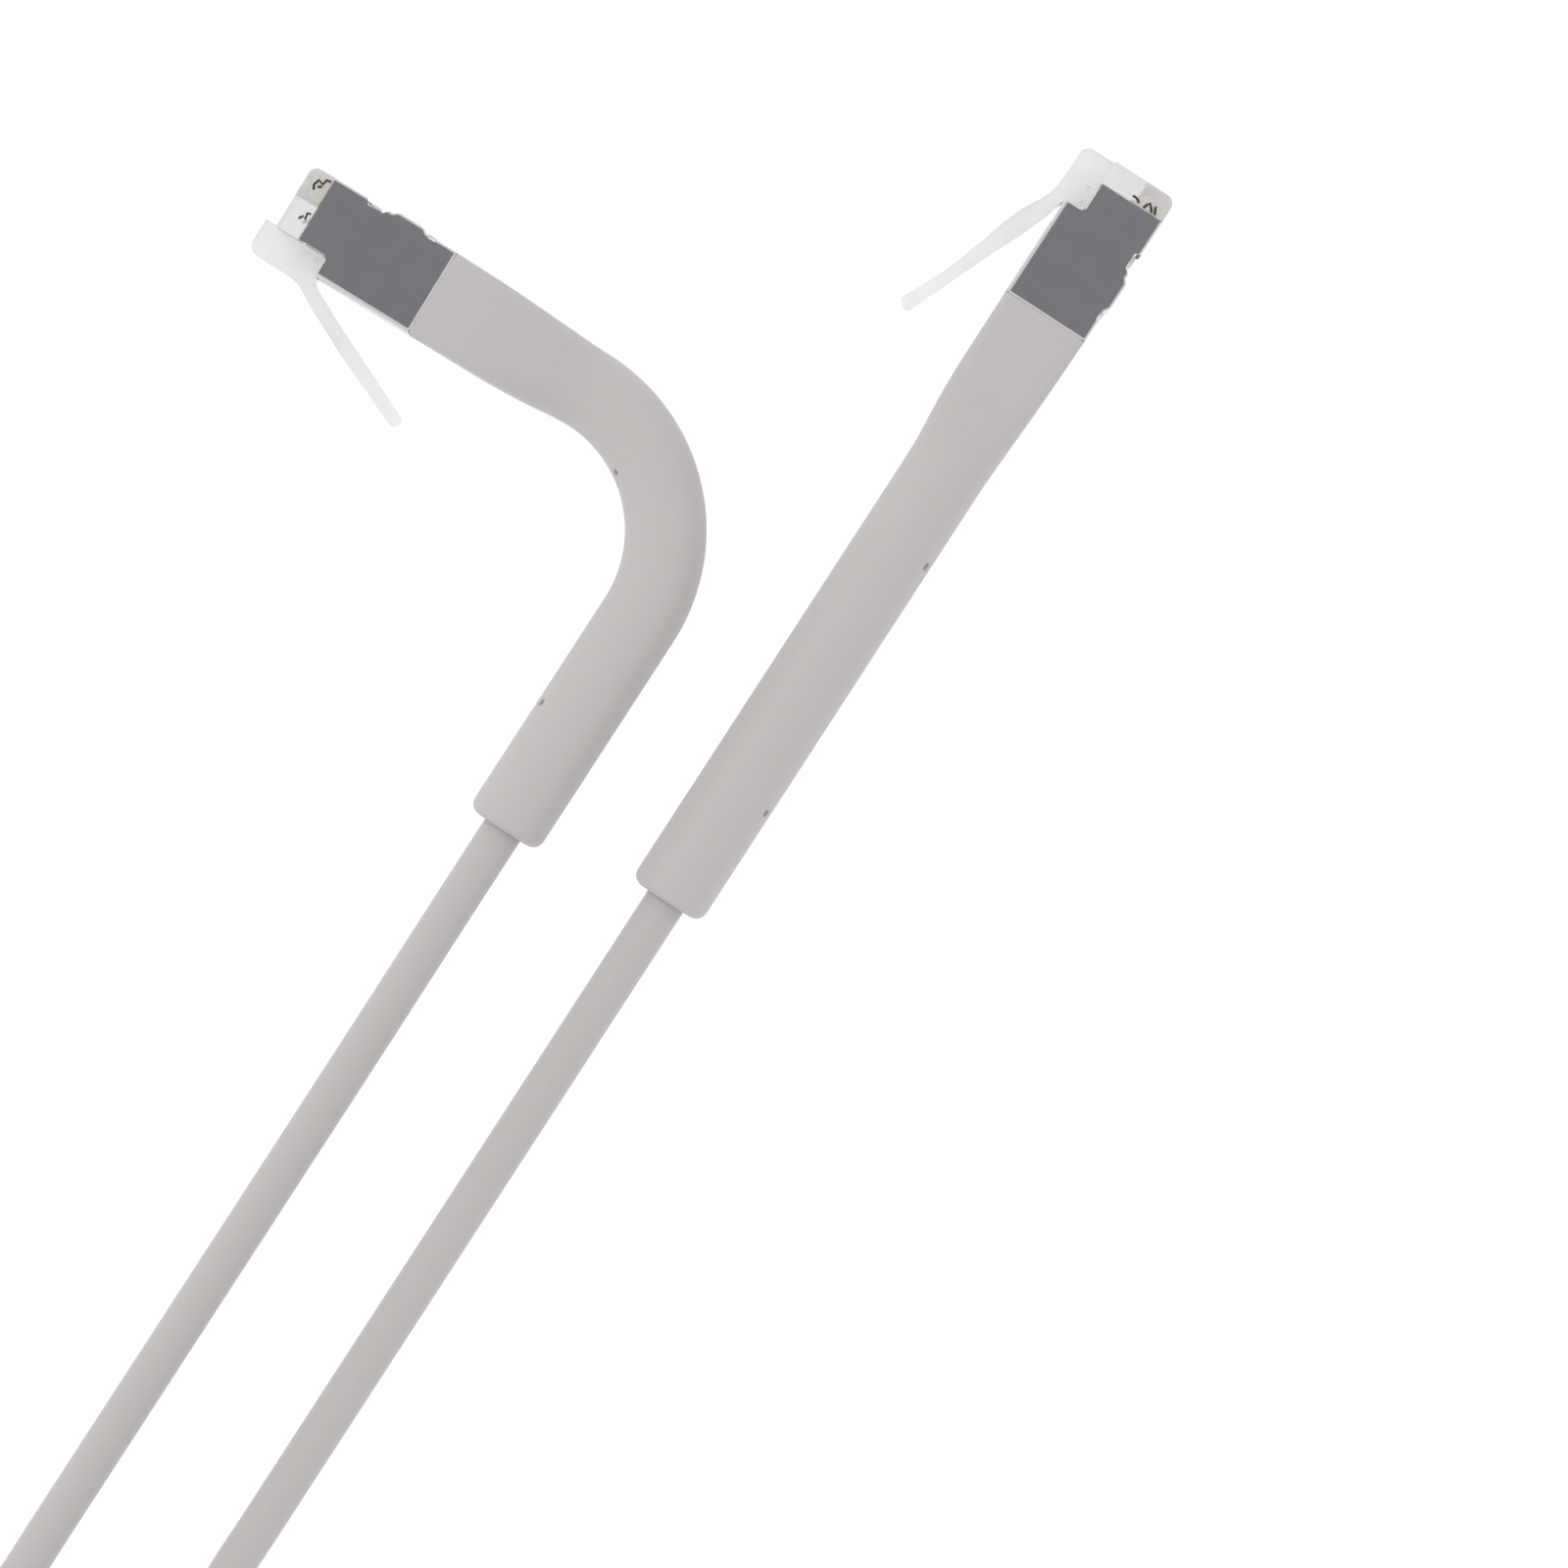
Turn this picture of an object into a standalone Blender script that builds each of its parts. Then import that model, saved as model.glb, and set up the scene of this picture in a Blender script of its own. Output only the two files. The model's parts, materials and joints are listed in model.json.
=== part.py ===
"""A shielded ethernet patch cable with two plugs, each behind a long boot that bends to either side.

The cable lies on its side on a table. +X runs along the cord towards the near plug's nose, +Y is
the side of the latch, and +Z is up, across the plug's width. Each end is drawn straight in its own
frame, with its origin on the plug's axis where the boot meets the shield, and a chain of pivots
then bends it. The near end lies straight. The far end lies beside it, bent towards its latch.
"""

import math

import bmesh
import bpy
from mathutils import Vector

MM = 0.001

# Clearances
FIT_GAP = 0.1 * MM  # between a plug's own small pieces
FACE_GAP = 0.3 * MM  # between the cord's solids, and between the rings of the boot

# Plug, measured from the line where the boot meets the shield
NOSE_LENGTH = 15.1 * MM
TAIL_LENGTH = 6.4 * MM
PLUG_WIDTH = 11.68 * MM
BODY_LOW = -4.2 * MM
NOSE_TOP = 2.2 * MM
NOSE_EDGE = 0.3 * MM
TAIL_HALF_HEIGHT = 3.0 * MM
TAIL_HALF_WIDTH = 4.6 * MM

# Latch
ROOT_WIDTH = 6.2 * MM
ROOT_TOP = 5.43 * MM
ROOT_REAR = 9.7 * MM
ROOT_CORNER = 0.7 * MM
HINGE_X = 10.1 * MM
HINGE_Y = 4.75 * MM
HINGE_RADIUS = 0.6 * MM
SHOULDER_REAR = 6.2 * MM
TONGUE_WIDTH = 3.25 * MM
KNUCKLE_DEG = 110  # how far the tongue's round end goes each way from the plug's nose
# Each tongue's outline in millimetres: back from the hinge along its lower side, round its tip and
# forward again along its upper side. The far one is shorter and stands higher.
TONGUES = {
    "near": (
        (9.36, 4.5), (7.3, 5.05), (4.6, 6.1), (2.55, 7.05), (-0.17, 8.15), (-4.25, 9.85), (-5.9, 10.5),
        (-6.2, 10.75), (-6.15, 11.25), (-5.75, 11.65),
        (-5.28, 11.73), (-1.19, 9.85), (2.55, 8.58), (4.94, 7.9), (6.98, 7.13), (9.0, 6.0),
    ),
    "far": (
        (9.2, 5.1), (5.4, 7.0), (-3.1, 10.9),
        (-3.25, 11.25), (-2.9, 11.75), (-2.35, 11.85),
        (-1.6, 11.65), (3.7, 9.35), (8.8, 6.8), (9.7, 6.1),
    ),
}
# How far each latch root stands ahead of the nose, and the lower side of what stands ahead
HOOK_REACHES = {"near": 0.0, "far": 1.3 * MM}
HOOK_LOW = 2.1 * MM

# Shield can
SHIELD_FRONT = 12.73 * MM
SHIELD_HALF_HEIGHT = 4.24 * MM
SHEET = 0.25 * MM
SHIELD_REAR = 0.17 * MM
NOTCH_TOP = 2.16 * MM
CONTACT_WINDOW_REAR = 7.0 * MM
TAB_LENGTH = 0.5 * MM  # where the can steps in to its crimped tail
CRIMP_LENGTH = 3.0 * MM
CRIMP_TONGUE_WIDTH = 4.0 * MM
# The raised band and the catch notch across the contact side: how far along, and how far out
BAND = ((3.2, -0.1), (3.75, 0.34), (6.3, 0.34), (6.8, -0.1))
CATCH_NOTCH = ((7.15, 1.0), (7.15, -0.1), (7.6, -0.56), (9.05, -0.56), (9.36, -0.1), (9.36, 1.0))

# Contacts, wires and the bar that holds the wires
POSITIONS = 8
PITCH = 1.016 * MM
BLADE_THICKNESS = 0.35 * MM
BLADE_REAR = 9.9 * MM
BLADE_FRONT = 14.2 * MM
BLADE_LOW = -3.85 * MM
BLADE_CORNER = 0.5 * MM
BLADE_POINT = 0.55 * MM
SLOT_REAR = 9.7 * MM
WIRE_RADIUS = 0.42 * MM
WIRE_FRONT = 12.2 * MM
WIRE_REAR = -6.7 * MM
ROW_LOW = -0.75 * MM
ROW_HIGH = 0.2 * MM
BAR_REAR = 3.0 * MM
BAR_FRONT = 8.6 * MM
BAR_MARGIN = 0.9 * MM

# Cord and boot
CORD_DIAMETER = 3.8 * MM
BORE_GAP = 0.2 * MM  # round the cord
BOOT_LENGTH = 62.7 * MM
BOOT_RADIUS = 3.7 * MM
BOOT_WIDTH = 12.2 * MM
BOOT_HALF_HEIGHT = 4.2 * MM
BOOT_END_ROUND = 1.1 * MM
POCKET_GAP = 0.2 * MM  # round the plug's tail, inside the boot
CRIMP_POCKET_DEPTH = 9.8 * MM
BLOCK_LENGTH = 4.7 * MM
NECK_START = -16.5 * MM
BEND_PIVOTS = 6
PIVOT_SPACING = 4.0 * MM
SLEEVE_LENGTH = 24.6 * MM
SLEEVE_BORE_DEPTH = 17.0 * MM
BOOT_SIDES = 24
ARC_STEPS = 12

# How the two ends lie
FAR_OFFSET = Vector((-2.6 * MM, 15.85 * MM, 0.0))
FAR_BEND_DEG = 91.5

# Coil and tie
COIL_CENTRE = Vector((-191.0 * MM, 5.0 * MM, 0.0))
COIL_RADII = (24.0 * MM, 20.2 * MM, 16.4 * MM)
COIL_LAYERS = 2
COIL_STUB = 15.0 * MM
COIL_STEPS = 48
TIE_THICKNESS = 0.5 * MM
TIE_GAP = 0.25 * MM
TIE_WIDTH = 8.0 * MM

# The cord's route from inside each sleeve to the coil, in millimetres from the near end's origin
LEAD_ROUTE = (
    (-46.0, 0.0, 6.1), (-54.0, 0.0, 6.1), (-62.7, 0.0, 6.1), (-70.0, 0.0, 5.5), (-78.0, 0.0, 3.9),
    (-86.0, 0.0, 2.5), (-95.0, 0.0, 2.05), (-106.0, 0.0, 1.95), (-117.0, 0.0, 1.95), (-124.5, 0.0, 1.95),
    (-131.0, 0.0, 1.95), (-136.5, 0.0, 1.95), (-142.1, -0.65, 1.95), (-147.45, -2.55, 1.95),
    (-152.2, -5.55, 1.95), (-156.1, -9.5, 2.0), (-160.0, -13.45, 2.1), (-164.75, -16.45, 2.35),
    (-170.1, -18.35, 2.6), (-175.7, -19.0, 2.65),
)
TAIL_ROUTE = (
    (-175.7, 29.0, 6.45), (-171.65, 28.6, 6.35), (-167.8, 27.3, 6.0), (-164.25, 25.3, 5.35),
    (-161.1, 22.45, 4.5), (-157.95, 19.55, 3.6), (-154.4, 17.55, 2.8), (-150.55, 16.25, 2.25),
    (-146.5, 15.85, 2.0), (-141.0, 15.85, 1.95), (-133.0, 15.85, 1.95), (-122.0, 15.85, 1.95),
    (-110.0, 15.85, 1.95), (-98.0, 15.85, 2.05), (-89.0, 15.85, 2.5), (-81.0, 15.85, 3.9),
    (-73.0, 15.85, 5.5), (-65.3, 15.85, 6.1), (-57.0, 15.85, 6.1), (-48.6, 15.85, 6.1),
)
ROUTE_STEP = 9.0 * MM
SPAN_STEPS = 16  # fine steps between two of the route's points
END_STEP = 4  # fine steps from each end of the cord to its next point

# Worked out from the sizes above
HALF_WIDTH = PLUG_WIDTH / 2
AXIS_HEIGHT = BOOT_WIDTH / 2
CORD_RADIUS = CORD_DIAMETER / 2
REAR_PIVOT_X = SLEEVE_LENGTH - BOOT_LENGTH
PIVOT_XS = [REAR_PIVOT_X + PIVOT_SPACING * i for i in range(BEND_PIVOTS)]
SOCKET_RADIUS = BOOT_RADIUS + FACE_GAP
TONGUE_TOP = max(y for _, y in TONGUES["near"]) * MM
NEAR_ORIGIN = Vector(((BOOT_LENGTH - NOSE_LENGTH) / 2, -(TONGUE_TOP - SHIELD_HALF_HEIGHT) / 2, 0.0))

FINISHES = {
    "clear_plastic": ((0.86, 0.87, 0.86), 0.15, 0.0),
    "shield_metal": ((0.19, 0.185, 0.2), 0.35, 1.0),
    "gold": ((0.83, 0.62, 0.25), 0.25, 1.0),
    "bar_plastic": ((0.8, 0.8, 0.78), 0.4, 0.0),
    "boot_plastic": ((0.53, 0.49, 0.485), 0.5, 0.0),
    "jacket": ((0.51, 0.49, 0.485), 0.5, 0.0),
    "tie_fabric": ((0.05, 0.05, 0.055), 0.9, 0.0),
    "wire_white_orange": ((0.9, 0.75, 0.6), 0.45, 0.0),
    "wire_orange": ((0.85, 0.3, 0.04), 0.45, 0.0),
    "wire_white_green": ((0.7, 0.85, 0.7), 0.45, 0.0),
    "wire_blue": ((0.05, 0.15, 0.6), 0.45, 0.0),
    "wire_white_blue": ((0.65, 0.7, 0.88), 0.45, 0.0),
    "wire_green": ((0.04, 0.4, 0.1), 0.45, 0.0),
    "wire_white_brown": ((0.78, 0.7, 0.62), 0.45, 0.0),
    "wire_brown": ((0.22, 0.1, 0.04), 0.45, 0.0),
}
WIRE_FINISHES = [name for name in FINISHES if name.startswith("wire_")]


def clear_scene():
    for obj in list(bpy.data.objects):
        bpy.data.objects.remove(obj, do_unlink=True)


def finish(name):
    """The material of that name, made the first time it is asked for."""
    material = bpy.data.materials.get(name)
    if material is None:
        colour, roughness, metallic = FINISHES[name]
        material = bpy.data.materials.new(name)
        material.use_nodes = True
        shader = material.node_tree.nodes["Principled BSDF"]
        shader.inputs["Base Color"].default_value = (*colour, 1.0)
        shader.inputs["Roughness"].default_value = roughness
        shader.inputs["Metallic"].default_value = metallic
    return material


def mesh_of(bm):
    bmesh.ops.recalc_face_normals(bm, faces=bm.faces)
    mesh = bpy.data.meshes.new("shape")
    bm.to_mesh(mesh)
    bm.free()
    return mesh


def loft(rings):
    """A closed solid through rings that have the same number of points, with flat ends."""
    bm = bmesh.new()
    loops = [[bm.verts.new(point) for point in ring] for ring in rings]
    count = len(loops[0])
    for first, second in zip(loops, loops[1:]):
        for i in range(count):
            j = (i + 1) % count
            bm.faces.new((first[i], first[j], second[j], second[i]))
    bm.faces.new(loops[0])
    bm.faces.new(loops[-1])
    return mesh_of(bm)


def prism(outline, low, high):
    """An outline in X and Y, extruded from low to high along Z."""
    return loft([[(x, y, z) for x, y in outline] for z in (low, high)])


def block(x, y, z):
    """A box between the two ends given for each axis."""
    return prism(((x[0], y[0]), (x[1], y[0]), (x[1], y[1]), (x[0], y[1])), *z)


def arc(centre_x, centre_y, radius, start_deg, end_deg, steps):
    turn = math.radians(end_deg - start_deg) / steps
    angles = [math.radians(start_deg) + turn * i for i in range(steps + 1)]
    return [(centre_x + radius * math.cos(a), centre_y + radius * math.sin(a)) for a in angles]


def round_box_ring(x, low, high, half_width, radius, sides=BOOT_SIDES):
    """A ring across X: a rectangle from low to high in Y, with corners of that radius."""
    middle, half_height = (low + high) / 2, (high - low) / 2
    points = []
    for i in range(sides):
        angle = 2 * math.pi * (i + 0.5) / sides
        across, up = math.cos(angle), math.sin(angle)
        y = math.copysign(half_height - radius, across) + radius * across
        z = math.copysign(half_width - radius, up) + radius * up
        points.append((x, middle + y, z))
    return points


def round_ring(x, radius, sides=BOOT_SIDES):
    return round_box_ring(x, -radius, radius, radius, radius, sides)


def rod(radius, start, end, y=0.0, z=0.0, sides=BOOT_SIDES):
    """A round bar along X."""
    rings = [[(px, py + y, pz + z) for px, py, pz in round_ring(x, radius, sides)] for x in (start, end)]
    return loft(rings)


def combine(mesh, others, operation):
    """The mesh joined with, cut by or kept inside each of the others."""
    scene = bpy.context.scene.collection
    body = bpy.data.objects.new("body", mesh)
    scene.objects.link(body)
    tools = []
    for other in others:
        tool = bpy.data.objects.new("tool", other)
        scene.objects.link(tool)
        modifier = body.modifiers.new("combine", "BOOLEAN")
        modifier.operation = operation
        modifier.object = tool
        tools.append(tool)
    graph = bpy.context.evaluated_depsgraph_get()
    result = bpy.data.meshes.new_from_object(body.evaluated_get(graph))
    for obj in (body, *tools):
        bpy.data.objects.remove(obj, do_unlink=True)
    return result


def wire_rows():
    """The place of each wire across the plug, in two rows that take turns."""
    first = -PITCH * (POSITIONS - 1) / 2
    return [((ROW_LOW, ROW_HIGH)[i % 2], first + PITCH * i) for i in range(POSITIONS)]


def bar_section(gap):
    """The wire bar's ends in Y and in Z, grown by a gap."""
    edge = BAR_MARGIN + gap
    half_width = PITCH * (POSITIONS - 1) / 2 + edge
    return (ROW_LOW - edge, ROW_HIGH + edge), (-half_width, half_width)


def root_outline(hook_reach):
    """The latch's root in X and Y: it rises behind the hinge's clearance and may stand ahead of the nose."""
    rear, hinge_front = ROOT_REAR + FIT_GAP, HINGE_X + HINGE_RADIUS + FIT_GAP
    hinge_low = HINGE_Y - HINGE_RADIUS - FIT_GAP
    front = NOSE_LENGTH + hook_reach
    outline = [(rear, 0.0), (rear, hinge_low), (hinge_front, hinge_low), (hinge_front, ROOT_TOP)]
    outline += arc(front - ROOT_CORNER, ROOT_TOP - ROOT_CORNER, ROOT_CORNER, 90, 0, 3)
    if hook_reach > 0.0:
        outline += [(front, HOOK_LOW), (NOSE_LENGTH, HOOK_LOW)]
    return [*outline, (NOSE_LENGTH, 0.0)]


def housing_mesh(hook_reach):
    """The clear body: a core inside the shield, a bare nose, the latch's root and a tail inside the boot."""
    inner_half_height = SHIELD_HALF_HEIGHT - SHEET - FIT_GAP
    inner_half_width = HALF_WIDTH - SHEET - FIT_GAP
    nose_start = SHIELD_FRONT + FIT_GAP
    core_start = SHIELD_REAR + TAB_LENGTH + FIT_GAP
    core = block(
        (core_start, ROOT_REAR),
        (-inner_half_height, inner_half_height),
        (-inner_half_width, inner_half_width),
    )
    front_core = block(
        (ROOT_REAR - FIT_GAP, nose_start + FIT_GAP),
        (-inner_half_height, NOTCH_TOP - FIT_GAP),
        (-inner_half_width, inner_half_width),
    )
    nose = loft([
        round_box_ring(nose_start, BODY_LOW, NOSE_TOP, HALF_WIDTH, NOSE_EDGE, 16),
        round_box_ring(NOSE_LENGTH - NOSE_EDGE, BODY_LOW, NOSE_TOP, HALF_WIDTH, NOSE_EDGE, 16),
        round_box_ring(NOSE_LENGTH, BODY_LOW + NOSE_EDGE, NOSE_TOP, HALF_WIDTH - NOSE_EDGE, NOSE_EDGE, 16),
    ])
    tail = block(
        (-TAIL_LENGTH, core_start + FIT_GAP),
        (-TAIL_HALF_HEIGHT, TAIL_HALF_HEIGHT),
        (-TAIL_HALF_WIDTH, TAIL_HALF_WIDTH),
    )
    solid = combine(
        core,
        [front_core, nose, prism(root_outline(hook_reach), -ROOT_WIDTH / 2, ROOT_WIDTH / 2), tail],
        "UNION",
    )
    cavity_y, cavity_z = bar_section(FIT_GAP)
    cuts = [block((-TAIL_LENGTH - FACE_GAP, WIRE_FRONT + FACE_GAP), cavity_y, cavity_z)]
    half_slot = BLADE_THICKNESS / 2 + FIT_GAP
    for _, z in wire_rows():
        cuts.append(block(
            (SLOT_REAR, NOSE_LENGTH + FACE_GAP),
            (BODY_LOW - FACE_GAP, ROW_LOW - WIRE_RADIUS),
            (z - half_slot, z + half_slot),
        ))
    return combine(solid, cuts, "DIFFERENCE")


def lever_mesh(tongue):
    """The latch's tongue: round at the hinge, wide up to the shoulders and narrow behind them."""
    knuckle = arc(HINGE_X, HINGE_Y, HINGE_RADIUS, KNUCKLE_DEG, -KNUCKLE_DEG, 6)
    outline = [*knuckle, *((x * MM, y * MM) for x, y in tongue)]
    whole = prism(outline, -ROOT_WIDTH / 2, ROOT_WIDTH / 2)
    reach = NOSE_LENGTH
    sides = []
    for side in (-1, 1):
        edges = sorted((side * TONGUE_WIDTH / 2, side * ROOT_WIDTH))
        sides.append(block((-reach, SHOULDER_REAR), (0.0, reach), edges))
    return combine(whole, sides, "DIFFERENCE")


def shield_mesh():
    """The can: an open sheet box, notched for the latch and the contacts, with a tail crimped on the jacket."""
    outer = block(
        (SHIELD_REAR, SHIELD_FRONT),
        (-SHIELD_HALF_HEIGHT, SHIELD_HALF_HEIGHT),
        (-HALF_WIDTH, HALF_WIDTH),
    )
    inner_half_height, inner_half_width = SHIELD_HALF_HEIGHT - SHEET, HALF_WIDTH - SHEET
    past = FACE_GAP
    window_half_width = PITCH * POSITIONS / 2
    cuts = [
        block(
            (-past, SHIELD_FRONT + past),
            (-inner_half_height, inner_half_height),
            (-inner_half_width, inner_half_width),
        ),
        block(
            (ROOT_REAR, SHIELD_FRONT + past),
            (NOTCH_TOP, SHIELD_HALF_HEIGHT + past),
            (-PLUG_WIDTH, PLUG_WIDTH),
        ),
        block(
            (CONTACT_WINDOW_REAR, SHIELD_FRONT + past),
            (-SHIELD_HALF_HEIGHT - past, -inner_half_height + past),
            (-window_half_width, window_half_width),
        ),
    ]
    band, notch = (
        prism([(x * MM, -SHIELD_HALF_HEIGHT - out * MM) for x, out in outline], -reach, reach)
        for outline, reach in ((BAND, HALF_WIDTH), (CATCH_NOTCH, PLUG_WIDTH))
    )
    can = combine(combine(outer, [band], "UNION"), [*cuts, notch], "DIFFERENCE")
    low = -TAIL_HALF_HEIGHT - FIT_GAP - SHEET
    half = CRIMP_TONGUE_WIDTH / 2
    ring_radius = CORD_RADIUS + FIT_GAP + SHEET
    drop_x = -TAIL_LENGTH - FACE_GAP
    crimp_start = drop_x - CRIMP_LENGTH
    tongue = [
        block((SHIELD_REAR, SHIELD_REAR + TAB_LENGTH), (-SHIELD_HALF_HEIGHT, low + SHEET), (-half, half)),
        block((drop_x - SHEET, SHIELD_REAR + SHEET), (low, low + SHEET), (-half, half)),
        block((drop_x - SHEET, drop_x), (low, -CORD_RADIUS - FIT_GAP), (-half / 2, half / 2)),
    ]
    ring = combine(
        rod(ring_radius, crimp_start, drop_x - SHEET / 2, sides=16),
        [rod(ring_radius - SHEET, crimp_start - past, drop_x + past, sides=16)],
        "DIFFERENCE",
    )
    return combine(can, [*tongue, ring], "UNION")


def bar_mesh():
    """The bar that keeps the wires apart in their two rows."""
    y, z = bar_section(0.0)
    holes = [
        rod(WIRE_RADIUS + FIT_GAP, BAR_REAR - FACE_GAP, BAR_FRONT + FACE_GAP, row, across, 8)
        for row, across in wire_rows()
    ]
    return combine(block((BAR_REAR, BAR_FRONT), y, z), holes, "DIFFERENCE")


def blade_mesh():
    """One contact, drawn at the middle of the plug: a blade with a rounded front and two piercing points."""
    tip = ROW_LOW - WIRE_RADIUS - FIT_GAP
    shoulder = tip - BLADE_POINT
    middle = (BLADE_REAR + BLADE_FRONT) / 2
    outline = (
        (BLADE_REAR, BLADE_LOW),
        *arc(BLADE_FRONT - BLADE_CORNER, BLADE_LOW + BLADE_CORNER, BLADE_CORNER, -90, 0, 3),
        (BLADE_FRONT, shoulder),
        (BLADE_FRONT - BLADE_CORNER, tip),
        (middle + BLADE_CORNER, shoulder),
        (middle - BLADE_CORNER, shoulder),
        (BLADE_REAR + BLADE_CORNER, tip),
        (BLADE_REAR, shoulder),
    )
    return prism(outline, -BLADE_THICKNESS / 2, BLADE_THICKNESS / 2)


def hinge_outline(rear_pivot, front_pivot, rear, front, half_height):
    """An outline with a convex end round its rear pivot and a hollow end round its front pivot.

    Where a piece has no pivot, its end is flat at rear or front.
    """
    outline = []
    if rear_pivot is None:
        outline += [(rear, half_height), (rear, -half_height)]
    else:
        outline += arc(rear_pivot, 0.0, BOOT_RADIUS, 90, 270, ARC_STEPS)
    if front_pivot is None:
        outline += [(outline[-1][0] + FACE_GAP, -half_height), (front, -half_height)]
        outline += [(front, half_height), (outline[0][0] + FACE_GAP, half_height)]
    else:
        open_deg = 180 - math.degrees(math.asin(BOOT_RADIUS / SOCKET_RADIUS))
        outline += arc(front_pivot, 0.0, SOCKET_RADIUS, 360 - open_deg, open_deg, ARC_STEPS)
    return outline


def collar_mesh():
    """The boot's front: a block that matches the plug, narrowing to the round neck."""
    tube = BOOT_RADIUS
    middle = (NECK_START - BLOCK_LENGTH) / 2
    near_neck = NECK_START + 1.4 * MM
    rear_end = PIVOT_XS[-1] - BOOT_RADIUS - FACE_GAP
    half_height = BOOT_HALF_HEIGHT
    body = loft([
        round_ring(rear_end, tube),
        round_ring(NECK_START, tube),
        round_box_ring(near_neck, -tube, tube * 1.01, tube * 1.04, tube * 0.97),
        round_box_ring(middle - 1.5 * MM, -0.915 * half_height, 0.96 * half_height, 0.754 * AXIS_HEIGHT, 2.6 * MM),
        round_box_ring(middle + 1.9 * MM, -0.95 * half_height, half_height, 0.902 * AXIS_HEIGHT, 1.5 * MM),
        round_box_ring(-BLOCK_LENGTH, -0.98 * half_height, half_height, AXIS_HEIGHT, 0.8 * MM),
        round_box_ring(0.0, -half_height, half_height, AXIS_HEIGHT, 0.6 * MM),
    ])
    outline = hinge_outline(PIVOT_XS[-1], None, None, FACE_GAP, 2 * BOOT_HALF_HEIGHT)
    body = combine(body, [prism(outline, -BOOT_WIDTH, BOOT_WIDTH)], "INTERSECT")
    pocket_half_height = TAIL_HALF_HEIGHT + FIT_GAP + SHEET + POCKET_GAP
    pocket_half_width = TAIL_HALF_WIDTH + POCKET_GAP
    crimp_radius = CORD_RADIUS + FIT_GAP + SHEET + POCKET_GAP
    pocket_rear = -TAIL_LENGTH - FACE_GAP - SHEET - POCKET_GAP
    cuts = [
        block(
            (pocket_rear, FACE_GAP),
            (-pocket_half_height, pocket_half_height),
            (-pocket_half_width, pocket_half_width),
        ),
        rod(crimp_radius, -CRIMP_POCKET_DEPTH - POCKET_GAP, pocket_rear + FACE_GAP),
        rod(CORD_RADIUS + BORE_GAP, NECK_START, -CRIMP_POCKET_DEPTH),
    ]
    return combine(body, cuts, "DIFFERENCE")


def stub_mesh():
    """The jacket's end inside the collar."""
    return rod(CORD_RADIUS, NECK_START + BORE_GAP, -TAIL_LENGTH - FACE_GAP - SHEET, sides=16)


def link_mesh(number):
    """One ring of the bending part of the boot, between two pivots."""
    rear, front = PIVOT_XS[number - 1], PIVOT_XS[number]
    outline = hinge_outline(rear, front, None, None, BOOT_RADIUS)
    tube = rod(BOOT_RADIUS, rear - 2 * BOOT_RADIUS, front)
    return combine(tube, [prism(outline, -2 * BOOT_RADIUS, 2 * BOOT_RADIUS)], "INTERSECT")


def sleeve_mesh():
    """The boot's rear: a round sleeve with a rounded end and a bore for the cord."""
    rear = -BOOT_LENGTH
    steps = 3
    rings = []
    for i in range(steps + 1):
        angle = math.pi / 2 * i / steps
        inset = BOOT_END_ROUND * (1 - math.sin(angle))
        rings.append(round_ring(rear + BOOT_END_ROUND * (1 - math.cos(angle)), BOOT_RADIUS - inset))
    rings.append(round_ring(REAR_PIVOT_X, BOOT_RADIUS))
    outline = hinge_outline(None, REAR_PIVOT_X, rear - FACE_GAP, None, BOOT_RADIUS)
    body = combine(loft(rings), [prism(outline, -2 * BOOT_RADIUS, 2 * BOOT_RADIUS)], "INTERSECT")
    bore = rod(CORD_RADIUS + BORE_GAP, rear - FACE_GAP, rear + SLEEVE_BORE_DEPTH, sides=16)
    return combine(body, [bore], "DIFFERENCE")


def place(name, shape, finish_name, parent, location=(0.0, 0.0, 0.0)):
    """A named piece with its material, under its parent."""
    obj = bpy.data.objects.new(name, shape)
    bpy.context.scene.collection.objects.link(obj)
    obj.parent = parent
    obj.location = location
    shape.materials.clear()
    shape.materials.append(finish(finish_name))
    if obj.type == "MESH":
        shape.shade_smooth()
        shape.set_sharp_from_angle(angle=math.radians(35))
    return obj


def empty(name, parent, location, turn_deg=0.0):
    obj = bpy.data.objects.new(name, None)
    bpy.context.scene.collection.objects.link(obj)
    obj.empty_display_size = 5 * MM
    obj.parent = parent
    obj.location = location
    obj.rotation_euler = (0.0, 0.0, math.radians(turn_deg))
    return obj


def build_plug(prefix, parent, shapes, back):
    """The plug and the boot's collar, which move as one body."""
    for piece, finish_name in (
        ("plug_housing", "clear_plastic"),
        ("shield_can", "shield_metal"),
        ("load_bar", "bar_plastic"),
        ("cord_stub", "jacket"),
        ("boot_collar", "boot_plastic"),
    ):
        place(f"{prefix}_{piece}", shapes[piece], finish_name, parent, back)
    for i, (row, across) in enumerate(wire_rows()):
        middle = back + Vector((0.0, 0.0, across))
        place(f"{prefix}_contact_{i + 1}", shapes["contact"], "gold", parent, middle)
        wire = rod(WIRE_RADIUS, WIRE_REAR, WIRE_FRONT, row, across, 8)
        place(f"{prefix}_wire_{i + 1}", wire, WIRE_FINISHES[i], parent, back)
    hinge = Vector((HINGE_X, HINGE_Y, 0.0))
    latch = empty(f"{prefix}_latch_pivot", parent, back + hinge)
    place(f"{prefix}_latch_lever", shapes["latch_lever"], "clear_plastic", latch, -hinge)


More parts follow.
